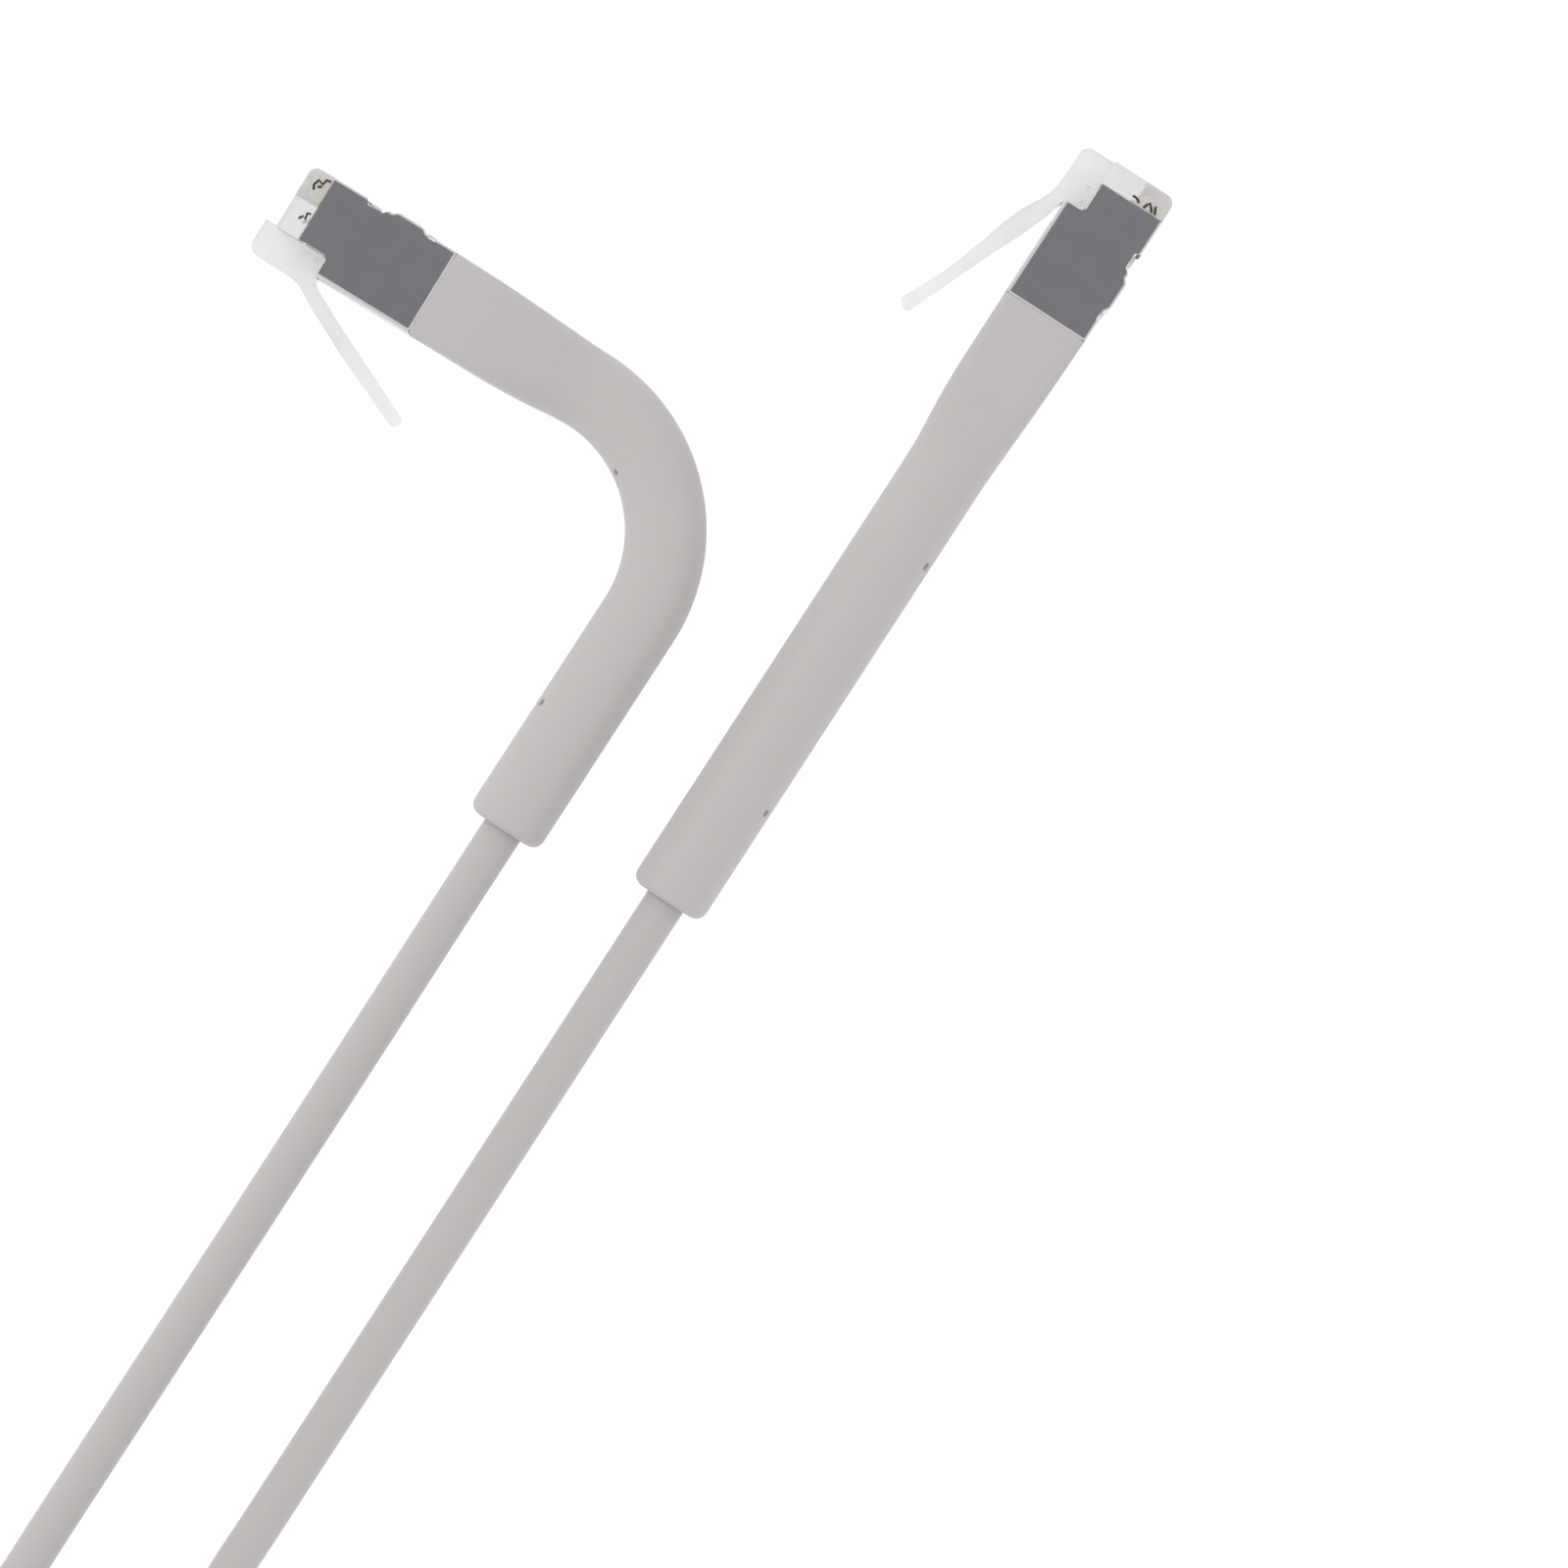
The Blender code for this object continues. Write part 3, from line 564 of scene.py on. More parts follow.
class Effects:
    """Makes each shared node group once."""

    def __init__(self) -> None:
        """Builds the three groups."""
        self.groups = {
            Effect.TONE: self.tone(),
            Effect.GRAIN: self.grain(),
            Effect.SCRATCHES: self.scratches(),
        }

    @staticmethod
    def group(effect: Effect, inputs: dict[str, tuple[str, object]], outputs: dict[str, str]) -> tuple:
        """An empty group.

        Args:
            effect: Which effect it is.
            inputs: For each input, its socket type and default value.
            outputs: For each output, its socket type.

        Returns:
            The tree, its builder, and its input and output nodes.
        """
        tree = bpy.data.node_groups.new(effect.value, "ShaderNodeTree")
        for name, (kind, value) in inputs.items():
            socket = tree.interface.new_socket(name, in_out="INPUT", socket_type=kind)
            if value is not None:
                socket.default_value = value
        for name, kind in outputs.items():
            tree.interface.new_socket(name, in_out="OUTPUT", socket_type=kind)
        nodes = NodeTree(tree)
        return tree, nodes, nodes.add("NodeGroupInput"), nodes.add("NodeGroupOutput")

    def tone(self) -> bpy.types.NodeTree:
        """A colour that drifts slowly lighter and darker, with finer mottling on top.

        Returns:
            The group of the effect.
        """
        tree, nodes, given, result = self.group(
            Effect.TONE,
            {
                "Vector": ("NodeSocketVector", None),
                "Colour": ("NodeSocketColor", (0.5, 0.5, 0.5, 1.0)),
                "Amount": ("NodeSocketFloat", 0.03),
                "Scale": ("NodeSocketFloat", 0.12),
            },
            {"Colour": "NodeSocketColor"},
        )
        wide = nodes.noise(given.outputs["Vector"], given.outputs["Scale"])
        fine_scale = nodes.maths("MULTIPLY", given.outputs["Scale"], 14.0)
        fine = nodes.noise(given.outputs["Vector"], fine_scale, 4.0)
        broad = nodes.maths("SUBTRACT", wide, 0.5)
        mottle = nodes.maths("MULTIPLY", nodes.maths("SUBTRACT", fine, 0.5), 0.5)
        drift = nodes.maths("ADD", broad, mottle)
        swing = nodes.maths("MULTIPLY", given.outputs["Amount"], 2.0)
        factor = nodes.maths("MULTIPLY_ADD", drift, swing, 1.0)
        inputs = {0: given.outputs["Colour"], "Scale": factor}
        scaled = nodes.add("ShaderNodeVectorMath", inputs, operation="SCALE")
        nodes.tree.links.new(scaled.outputs[0], result.inputs["Colour"])
        return tree

    def grain(self) -> bpy.types.NodeTree:
        """The fine pebbled surface that a mould leaves: a height, and a mask for its roughness.

        Returns:
            The group of the effect.
        """
        tree, nodes, given, result = self.group(
            Effect.GRAIN,
            {
                "Vector": ("NodeSocketVector", None),
                "Scale": ("NodeSocketFloat", 4.0),
                "Blend": ("NodeSocketFloat", 0.5),
            },
            {"Height": "NodeSocketFloat", "Mask": "NodeSocketFloat"},
        )
        pebbles = nodes.add(
            "ShaderNodeTexVoronoi",
            {"Vector": given.outputs["Vector"], "Scale": given.outputs["Scale"]},
            feature="SMOOTH_F1",
        ).outputs["Distance"]
        haze = nodes.noise(given.outputs["Vector"], nodes.maths("MULTIPLY", given.outputs["Scale"], 0.6), 3.0)
        height = nodes.maths("ADD", nodes.maths("MULTIPLY", pebbles, given.outputs["Blend"]), haze)
        nodes.tree.links.new(height, result.inputs["Height"])
        nodes.tree.links.new(haze, result.inputs["Mask"])
        return tree

    def scratches(self) -> bpy.types.NodeTree:
        """Hairlines drawn out along X: a mask of the lines, and a broad smudge mask.

        Returns:
            The group of the effect.
        """
        tree, nodes, given, result = self.group(
            Effect.SCRATCHES,
            {
                "Vector": ("NodeSocketVector", None),
                "Stretch": ("NodeSocketFloat", 0.05),
                "Scale": ("NodeSocketFloat", 9.0),
            },
            {"Lines": "NodeSocketFloat", "Smudge": "NodeSocketFloat"},
        )
        squeeze = nodes.add("ShaderNodeCombineXYZ", {"X": given.outputs["Stretch"], "Y": 1.0, "Z": 1.0})
        inputs = {0: given.outputs["Vector"], 1: squeeze.outputs[0]}
        drawn = nodes.add("ShaderNodeVectorMath", inputs, operation="MULTIPLY")
        lines = nodes.noise(drawn.outputs[0], given.outputs["Scale"], 5.0)
        smudge = nodes.noise(given.outputs["Vector"], 0.35, 3.0)
        nodes.tree.links.new(lines, result.inputs["Lines"])
        nodes.tree.links.new(smudge, result.inputs["Smudge"])
        return tree

    def place(self, nodes: NodeTree, effect: Effect, inputs: dict) -> bpy.types.Node:
        """Adds an effect's group to a material's tree.

        Args:
            nodes: The builder of the material's tree.
            effect: Which effect it is.
            inputs: A value or a socket for each of its inputs.

        Returns:
            The group's node.
        """
        node = nodes.add("ShaderNodeGroup", node_tree=self.groups[effect])
        nodes.feed(node, inputs)
        return node

    def toned(
        self, nodes: NodeTree, place: bpy.types.NodeSocket, colour: Point, amount: float, scale: float
    ) -> bpy.types.NodeSocket:
        """A finish's colour with the drift of its tone.

        Args:
            nodes: The builder of the material's tree.
            place: The coordinates that it reads.
            colour: The colour.
            amount: How far it drifts.
            scale: How many drifts there are to the millimetre.

        Returns:
            The socket of the drifting colour.
        """
        inputs = {"Vector": place, "Colour": rgba(colour), "Amount": amount, "Scale": scale}
        return self.place(nodes, Effect.TONE, inputs).outputs["Colour"]


def new_material(name: str) -> tuple[bpy.types.Material, NodeTree, bpy.types.Node]:
    """Starts a material.

    Args:
        name: Its name.

    Returns:
        The material, the builder of its tree, and its Principled shader.
    """
    material = bpy.data.materials.new(name)
    material.use_nodes = True
    nodes = NodeTree(material.node_tree)
    return material, nodes, material.node_tree.nodes["Principled BSDF"]


def local_coordinates(nodes: NodeTree) -> bpy.types.NodeSocket:
    """The piece's straight coordinates, in millimetres."""
    return nodes.add("ShaderNodeAttribute", attribute_name=LOCAL).outputs["Vector"]


# ---------------------------------------------------------------- finishes


@dataclass(frozen=True)
class SoftPlastic:
    """The satin plastic of the boots and of the cord's jacket, with painted shade darkening the boots' pin
    marks.
    """

    name: str
    colour: Point
    roughness: float
    drift: float
    grain_scale: float
    grain_depth: float
    pins: tuple[Point, ...] = ()
    stretch: Point = (1.0, 1.0, 1.0)
    tone_scale: float = 0.12
    # the pin marks' painted shade: how far it reaches, its dark colour and its strength
    pin_shade_edge: tuple[float, float] = (0.22, 0.48)
    pin_shade_colour: Point = (0.12, 0.11, 0.11)
    pin_shade_strength: float = 0.75

    def material(self, effects: Effects) -> bpy.types.Material:
        """Makes the finish's material.

        Args:
            effects: The shared node groups.

        Returns:
            The material.
        """
        material, nodes, shader = new_material(self.name)
        place = nodes.stretched(local_coordinates(nodes), self.stretch)
        colour = effects.toned(nodes, place, self.colour, self.drift, self.tone_scale)
        grain = effects.place(nodes, Effect.GRAIN, {"Vector": place, "Scale": self.grain_scale})
        # painted shade: each pin mark's dimple is darkened towards a dark colour
        for pin in self.pins:
            inputs = {0: local_coordinates(nodes), 1: pin}
            away = nodes.add("ShaderNodeVectorMath", inputs, operation="DISTANCE")
            dark = nodes.span(away.outputs["Value"], *self.pin_shade_edge, (1.0, 0.0))
            shade = nodes.maths("MULTIPLY", dark, self.pin_shade_strength)
            colour = nodes.mix(shade, colour, rgba(self.pin_shade_colour))
        bump = nodes.add(
            "ShaderNodeBump",
            {"Strength": 0.35, "Distance": self.grain_depth * MM, "Height": grain.outputs["Height"]},
        )
        rough = nodes.span(grain.outputs["Mask"], 0.3, 0.7, (self.roughness - 0.05, self.roughness + 0.05))
        nodes.tree.links.new(colour, shader.inputs["Base Color"])
        nodes.tree.links.new(rough, shader.inputs["Roughness"])
        nodes.tree.links.new(bump.outputs["Normal"], shader.inputs["Normal"])
        shader.inputs["Specular IOR Level"].default_value = 0.3
        return material


@dataclass(frozen=True)
class SheetMetal:
    """Plated sheet, with hairlines along the plug and faint smudges."""

    name: str
    colour: Point
    roughness: tuple[float, float]
    line_scale: float = 7.0
    line_depth: float = 0.002

    def material(self, effects: Effects) -> bpy.types.Material:
        """Makes the finish's material.

        Args:
            effects: The shared node groups.

        Returns:
            The material.
        """
        material, nodes, shader = new_material(self.name)
        place = local_coordinates(nodes)
        marks = effects.place(nodes, Effect.SCRATCHES, {"Vector": place, "Scale": self.line_scale})
        colour = effects.toned(nodes, place, self.colour, 0.05, 0.4)
        worn = nodes.span(marks.outputs["Lines"], 0.35, 0.65)
        rough = nodes.maths(
            "ADD",
            nodes.span(marks.outputs["Smudge"], 0.35, 0.65, self.roughness),
            nodes.maths("MULTIPLY", worn, 0.015),
        )
        bump = nodes.add(
            "ShaderNodeBump",
            {"Strength": 0.07, "Distance": self.line_depth * MM, "Height": marks.outputs["Lines"]},
        )
        nodes.tree.links.new(colour, shader.inputs["Base Color"])
        nodes.tree.links.new(rough, shader.inputs["Roughness"])
        nodes.tree.links.new(bump.outputs["Normal"], shader.inputs["Normal"])
        shader.inputs["Metallic"].default_value = 1.0
        return material


@dataclass(frozen=True)
class ClearMoulding:
    """Clear plastic, a little hazy, with the waves that its mould leaves."""

    name: str
    colour: Point
    roughness: float
    clarity: float
    wave_depth: float = 0.05

    def material(self, effects: Effects) -> bpy.types.Material:
        """Makes the finish's material.

        Args:
            effects: The shared node groups.

        Returns:
            The material.
        """
        material, nodes, shader = new_material(self.name)
        place = local_coordinates(nodes)
        colour = effects.toned(nodes, place, self.colour, 0.05, 0.5)
        grain = effects.place(nodes, Effect.GRAIN, {"Vector": place, "Scale": 1.1, "Blend": 0.0})
        bump = nodes.add(
            "ShaderNodeBump",
            {"Strength": 0.3, "Distance": self.wave_depth * MM, "Height": grain.outputs["Height"]},
        )
        rough = nodes.span(grain.outputs["Mask"], 0.3, 0.7, (self.roughness * 0.7, self.roughness * 1.3))
        nodes.tree.links.new(colour, shader.inputs["Base Color"])
        nodes.tree.links.new(rough, shader.inputs["Roughness"])
        nodes.tree.links.new(bump.outputs["Normal"], shader.inputs["Normal"])
        shader.inputs["Transmission Weight"].default_value = self.clarity
        shader.inputs["IOR"].default_value = 1.45
        return material


@dataclass(frozen=True)
class WireInsulation:
    """A wire's insulation, plain or white with bands of its colour."""

    name: str
    colour: Point
    band_pitch: float = 0.0
    band_edges: tuple[float, float] = (0.30, 0.36)  # as shares of the pitch
    white: Point = (0.82, 0.81, 0.78)

    def material(self, effects: Effects) -> bpy.types.Material:
        """Makes the finish's material.

        Args:
            effects: The shared node groups.

        Returns:
            The material.
        """
        material, nodes, shader = new_material(self.name)
        place = local_coordinates(nodes)
        colour = effects.toned(nodes, place, self.white if self.band_pitch else self.colour, 0.06, 0.5)
        if self.band_pitch:
            along = nodes.add("ShaderNodeSeparateXYZ", {"Vector": place}).outputs["X"]
            wave = nodes.maths("PINGPONG", along, self.band_pitch / 2)
            start, end = (share * self.band_pitch for share in self.band_edges)
            colour = nodes.mix(nodes.span(wave, start, end), colour, rgba(self.colour))
        nodes.tree.links.new(colour, shader.inputs["Base Color"])
        shader.inputs["Roughness"].default_value = 0.4
        return material


@dataclass(frozen=True)
class StrapWeave:
    """Woven hook and loop strap, with a painted highlight on the crests of its weave."""

    name: str
    colour: Point
    thread: float

    def material(self, effects: Effects) -> bpy.types.Material:
        """Makes the finish's material.

        Args:
            effects: The shared node groups.

        Returns:
            The material.
        """
        material, nodes, shader = new_material(self.name)
        place = local_coordinates(nodes)
        axes = nodes.add("ShaderNodeSeparateXYZ", {"Vector": place})
        turns = 2 * math.pi / self.thread
        warp = nodes.maths("SINE", nodes.maths("MULTIPLY", axes.outputs["X"], turns))
        weft = nodes.maths("SINE", nodes.maths("MULTIPLY", axes.outputs["Y"], turns))
        weave = nodes.maths("MULTIPLY_ADD", nodes.maths("MULTIPLY", warp, weft), 0.5, 0.5)
        fuzz = nodes.noise(place, 6.0, 4.0)
        height = nodes.maths("ADD", weave, fuzz)
        colour = effects.toned(nodes, place, self.colour, 0.2, 0.6)
        # painted highlight: the crests of the weave are lightened towards 3.2 times the strap's colour
        painted_crest_highlight = nodes.mix(nodes.maths("MULTIPLY", weave, 0.5), colour, rgba([3.2 * c for c in self.colour]))
        bump = nodes.add("ShaderNodeBump", {"Strength": 0.8, "Distance": 0.12 * MM, "Height": height})
        nodes.tree.links.new(painted_crest_highlight, shader.inputs["Base Color"])
        nodes.tree.links.new(bump.outputs["Normal"], shader.inputs["Normal"])
        shader.inputs["Roughness"].default_value = 0.9
        shader.inputs["Sheen Weight"].default_value = 0.25
        return material


@dataclass
class Wardrobe:
    """Every finish of the cable, made once."""

    effects: Effects
    made: dict[str, bpy.types.Material] = field(default_factory=dict)

    def __post_init__(self) -> None:
        """Makes the materials."""
        finishes = [
            SoftPlastic("near boot", BOOT_COLOUR, 0.5, 0.015, 5.0, 0.05, PIN_MARKS["near"]),
            SoftPlastic("far boot", BOOT_COLOUR, 0.5, 0.015, 5.0, 0.05, PIN_MARKS["far"]),
            SoftPlastic("jacket", (0.474, 0.449, 0.444), 0.45, 0.015, 6.0, 0.03, stretch=(0.25, 1.0, 1.0)),
            SheetMetal("nickel sheet", (0.66, 0.655, 0.685), (0.215, 0.265)),
            SheetMetal("gold plate", (0.93, 0.78, 0.56), (0.2, 0.3)),
            SheetMetal("copper core", (0.85, 0.42, 0.26), (0.2, 0.3)),
            # painted shadow: the dark finish of the strips in the noses' sides, which stand for shade seen
            # through the clear plastic
            SheetMetal("painted shadow strips", (0.13, 0.12, 0.115), (0.4, 0.5)),
            ClearMoulding("clear moulding", (0.915, 0.915, 0.91), 0.1, 0.66),
            SoftPlastic("bar plastic", (0.8, 0.79, 0.75), 0.4, 0.03, 4.0, 0.03),
            StrapWeave("strap", (0.03, 0.03, 0.033), 0.5),
        ]
        for name, colour in WIRE_COLOURS.items():
            finishes.append(WireInsulation(f"wire_{name}", colour))
            finishes.append(WireInsulation(f"wire_white_{name}", colour, BAND_PITCH))
        for finish in finishes:
            self.made[finish.name] = finish.material(self.effects)

    def __getitem__(self, name: str) -> bpy.types.Material:
        """The material of that name."""
        return self.made[name]


# ---------------------------------------------------------------- cord and coil


@dataclass
class CordRun:
    """The cord from inside the near sleeve, through its coil, to inside the far sleeve."""

    wardrobe: Wardrobe
    coil_centre: Vector = field(default_factory=lambda: Vector((-191.0, 5.0, 0.0)))
    coil_radii: tuple[float, ...] = (24.0, 20.2, 16.4)
    layer_heights: tuple[float, float] = (2.65, 6.45)
    turns: float = 4.5
    steps_to_turn: int = 48
    climb: tuple[float, float] = (2.4, 2.8)  # the turns between which it climbs to the upper layer
    step: float = 1.5
    sides: int = 32
    exit_x: float = -62.7
    lead: tuple[Point, ...] = (
        (-46.0, 0.0, 6.1), (-54.0, 0.0, 6.1), (-62.7, 0.0, 6.1), (-70.0, 0.0, 5.5), (-78.0, 0.0, 3.9),
        (-86.0, 0.0, 2.5), (-95.0, 0.0, 2.05), (-106.0, 0.0, 1.95), (-117.0, 0.0, 1.95), (-124.5, 0.0, 1.95),
        (-131.0, 0.0, 1.95), (-136.5, 0.0, 1.95), (-142.1, -0.65, 1.95), (-147.45, -2.55, 1.95),
        (-152.2, -5.55, 1.95), (-156.1, -9.5, 2.0), (-160.0, -13.45, 2.1), (-164.75, -16.45, 2.35),
        (-170.1, -18.35, 2.6), (-175.7, -19.0, 2.65),
    )
    tail: tuple[Point, ...] = (
        (-175.7, 29.0, 6.45), (-171.65, 28.6, 6.35), (-167.8, 27.3, 6.0), (-164.25, 25.3, 5.35),
        (-161.1, 22.45, 4.5), (-157.95, 19.55, 3.6), (-154.4, 17.55, 2.8), (-150.55, 16.25, 2.25),
        (-146.5, 15.85, 2.0), (-141.0, 15.85, 1.95), (-133.0, 15.85, 1.95), (-122.0, 15.85, 1.95),
        (-110.0, 15.85, 1.95), (-98.0, 15.85, 2.05), (-89.0, 15.85, 2.5), (-81.0, 15.85, 3.9),
        (-73.0, 15.85, 5.5), (-65.3, 15.85, 6.1), (-57.0, 15.85, 6.1), (-48.6, 15.85, 6.1),
    )

    def coil(self) -> list[Vector]:
        """Winds the coil: inwards on the floor, up at the middle, and outwards on top.

        Returns:
            The points of its turns, in millimetres in the near end's frame.
        """
        outer, middle, inner = self.coil_radii
        low, high = self.layer_heights
        at = (0.0, 0.83, 1.0, 1.83, 2.0, 2.83, 3.0, 3.83, 4.0, 4.5)
        radii = (outer, outer, middle, middle, inner, inner, middle, middle, outer, outer)
        foot, top = self.climb
        points = []
        for i in range(round(self.turns * self.steps_to_turn) + 1):
            t = i / self.steps_to_turn
            k = min(int(np.searchsorted(at, t, side="right")) - 1, len(at) - 2)
            share = (t - at[k]) / (at[k + 1] - at[k])
            radius = radii[k] + (radii[k + 1] - radii[k]) * share * share * (3 - 2 * share)
            climb = min(1.0, max(0.0, (t - foot) / (top - foot)))
            angle = -math.pi / 2 - 2 * math.pi * t
            height = low + (high - low) * climb * climb * (3 - 2 * climb)
            offset = Vector((radius * math.cos(angle), radius * math.sin(angle), height))
            points.append(self.coil_centre + offset)
        return points

    def route(self) -> list[Vector]:
        """Joins the lead, the coil and the tail.

        Returns:
            The whole centreline at even steps, in millimetres in the near end's frame.
        """
        lead = catmull([Vector(p) for p in self.lead], 12)
        tail = catmull([Vector(p) for p in self.tail], 12)
        coil = self.coil()
        joined = [*lead, *self.straight(lead[-1], coil[0]), *coil, *self.straight(coil[-1], tail[0]), *tail]
        line = np.array([tuple(p) for p in joined])
        along = np.concatenate([[0.0], np.cumsum(np.linalg.norm(np.diff(line, axis=0), axis=1))])
        at = np.linspace(0.0, along[-1], round(along[-1] / self.step) + 1)
        even = np.stack([np.interp(at, along, line[:, k]) for k in range(3)], axis=1)
        return [Vector(p) for p in even]

    @staticmethod
    def straight(start: Vector, end: Vector, steps: int = 8) -> list[Vector]:
        """Points between two others, without these."""
        return [start.lerp(end, i / steps) for i in range(1, steps)]

    def build(self) -> tuple[bpy.types.Object, list[Vector], float]:
        """Makes the cord.

        Returns:
            The piece, its centreline in the model's metres, and its length in metres.
        """
        points = self.route()
        length = sum((b - a).length for a, b in zip(points, points[1:]))
        mesh, marks = tube(points, CORD_RADIUS, self.sides)
        place = TO_METRES @ Matrix.Translation(NEAR_ORIGIN)
        cord = add_piece("cord", mesh, [self.wardrobe["jacket"]], place, marks)
        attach(cord, "cable")
        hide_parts("cord_lead", "cord_coil", "cord_tail")
        LOG.info("cord: %.3f m", length * MM)
        return cord, [place @ p for p in points], length * MM


@dataclass
class CoilTie:
    """The strap round the coil: a flat loop with its end lapped over on top."""

    wardrobe: Wardrobe
    centre: Vector = field(default_factory=lambda: Vector((-191.0, 5.0, 0.0)))
    outer_wall: float = 26.65
    inner_wall: float = 13.18
    height: float = 9.1
    thickness: float = 0.5
    width: float = 8.0
    corner: float = 2.0
    lap: float = 8.0
    start: float = 4.0
    lap_gap: float = 0.08
    edge: float = 0.12

    def loop(self) -> list[tuple[float, float]]:
        """Draws the strap's middle line, from its inner end round to its lapped end.

        Returns:
            Its points in X and Z.
        """
        half = self.thickness / 2
        left, right = -self.outer_wall + half, -self.inner_wall - half
        low, high = half, self.height - half
        r = self.corner
        inner, outer, bottom, top = right - r, left + r, low + r, high - r
        line = [(left + self.start, high), (inner, high)]
        corners = ((inner, top), 90), ((inner, bottom), 0), ((outer, bottom), -90), ((outer, top), -180)
        for centre, start in corners:
            line += arc(centre, r, start, start - 90, 6)
        rise = self.thickness + self.lap_gap
        line += [(outer + 1.0, high + 0.25 * rise), (outer + 1.9, high + rise)]
        line.append((left + self.start + self.lap, high + rise))
        return line

    def section(self) -> list[tuple[float, float]]:
        """Draws the strap's section, with its long edges eased.

        Returns:
            Its points, each across the strap and out of it.
        """
        side, out = self.width / 2, self.thickness / 2
        eased_side, eased_out = side - self.edge, out - self.edge
        half = [(-side, -eased_out), (-side, eased_out), (-eased_side, out), (eased_side, out)]
        return half + [(-across, -away) for across, away in half]

    def build(self) -> bpy.types.Object:
        """Makes the strap.

        Returns:
            The piece.
        """
        line = [Vector((x, z, 0.0)) for x, z in self.loop()]
        rings, marks, walked = [], [], 0.0
        for i, point in enumerate(line):
            ahead = (line[min(i + 1, len(line) - 1)] - line[max(i - 1, 0)]).normalized()
            normal = Vector((-ahead.y, ahead.x, 0.0))
            walked += (point - line[i - 1]).length if i else 0.0
            ring = []
            for across, out in self.section():
                place = point + normal * out
                ring.append((place.x, across, place.y))
                marks.append((walked, across, out))
            rings.append(ring)
        place = TO_METRES @ Matrix.Translation(NEAR_ORIGIN + self.centre)
        local = np.array(marks, np.float32)
        strap = add_piece("coil_strap", loft(rings), [self.wardrobe["strap"]], place, local)
        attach(strap, "cable")
        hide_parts("coil_tie")
        return strap


# ---------------------------------------------------------------- boot


@dataclass
class Boot:
    """One boot: a round sleeve and neck that bend, and a block that matches the plug."""

    end: EndFrame
    wardrobe: Wardrobe
    length: float = 62.7
    radius: float = 3.7
    end_round: float = 1.1
    bore: float = 2.1
    bore_depth: float = 17.0
    sides: int = 96
    pin_radius: float = 0.42
    pin_depth: float = 0.28
    # The room for the plug's tail: lowest and highest Y, half width and corner radius
    pocket: tuple[float, ...] = (-3.55, 3.3, 4.8, 0.5)
    pocket_end: float = -6.85
    crimp_radius: float = 2.5
    crimp_end: float = -10.0
    stub_end: float = -16.05
    step: float = 0.01
    # How far to each side of a hinge its bend is spread
    straight_reach: float = 1.9
    bent_reach: float = 1.42
    # Where, lowest and highest Y, half width and corner radius of the straight boot's sections
    sections: tuple[tuple[float, ...], ...] = (
        (-16.8, -3.7, 3.7, 3.7, 3.7), (-14.8, -3.73, 3.76, 3.95, 3.55), (-12.1, -3.84, 4.03, 4.65, 2.7),
        (-8.7, -3.99, 4.2, 5.5, 1.6), (-4.9, -4.12, 4.2, 6.05, 0.9), (0.0, -4.2, 4.2, 6.1, 0.6),
    )

    def section(self, x: float) -> list[float]:
        """Reads the boot's section at X, smoothed along the boot.

        Args:
            x: Where the section lies.

        Returns:
            Its lowest and highest Y, half width and corner.
        """
        table = np.array(self.sections)
        near = [x + d for d in (-1.2, -0.8, -0.4, 0.0, 0.4, 0.8, 1.2)]
        return [float(np.mean(np.interp(near, table[:, 0], table[:, k]))) for k in range(1, 5)]

    def outer_ring(self, x: float, inset: float = 0.0) -> list[Point]:
        """Draws the boot's outside, with its two pin marks pressed in.

        Args:
            x: Where the ring lies.
            inset: How far in it is drawn all round.

        Returns:
            The ring's points.
        """
        low, high, half_width, corner = self.section(x)
        corner = max(corner - inset, 0.2)
        ring = round_box_ring(x, low + inset, high - inset, half_width - inset, corner, self.sides)
        return [self.pressed(point) for point in ring]

    def pressed(self, point: Point) -> Point:
        """Moves a point of the outside in where a mould pin has left its mark.

        Args:
            point: The point, on the straight boot.

        Returns:
            The point, moved or as it was.
        """
        for pin in PIN_MARKS[self.end.prefix]:
            away = math.dist(point, pin) / self.pin_radius
            if away < 1.0:
                share = 1.0 - self.pin_depth * (1.0 - away * away) / self.radius
                return (point[0], point[1] * share, point[2] * share)
        return point

    def stations(self, start: float, end: float) -> list[float]:
        """Chooses the places of a stretch's rings: close together in the bend, at the pins and in the taper.

        Args:
            start: Where the stretch starts along X.
            end: Where it ends.

        Returns:
            The places, both ends included.
        """
        places = [start]
        while places[-1] < end - 1e-6:
            x = places[-1]
            near_pin = any(abs(x - pin[0]) < 0.8 for pin in PIN_MARKS[self.end.prefix])
            in_bend = PIVOT_XS[0] - 3.0 < x < PIVOT_XS[-1] + 3.0
            step = 0.12 if near_pin else 0.25 if in_bend else 0.5 if x > -18.0 else 1.0
            places.append(min(x + step, end))
        return places

    def rear_rings(self, end: float) -> list[list[Point]]:
        """Draws the sleeve: its bore, its rounded rear end, and its outside up to the first seam.

        Args:
            end: Where the first seam lies.

        Returns:
            The rings, from the bore's inner end round to the seam.
        """
        rear, sides = -self.length, self.sides
        rings = [
            round_ring(rear + self.bore_depth, self.bore, sides),
            round_ring(rear + 0.25, self.bore, sides),
            round_ring(rear + 0.07, self.bore + 0.07, sides),
            round_ring(rear, self.bore + 0.22, sides),
        ]
        for i in range(9):
            angle = math.pi / 2 * i / 8
            x = rear + self.end_round * (1 - math.cos(angle))
            rings.append(round_ring(x, self.radius - self.end_round * (1 - math.sin(angle)), sides))
        rings += [self.outer_ring(x) for x in self.stations(rear + self.end_round, end)[1:]]
        return rings

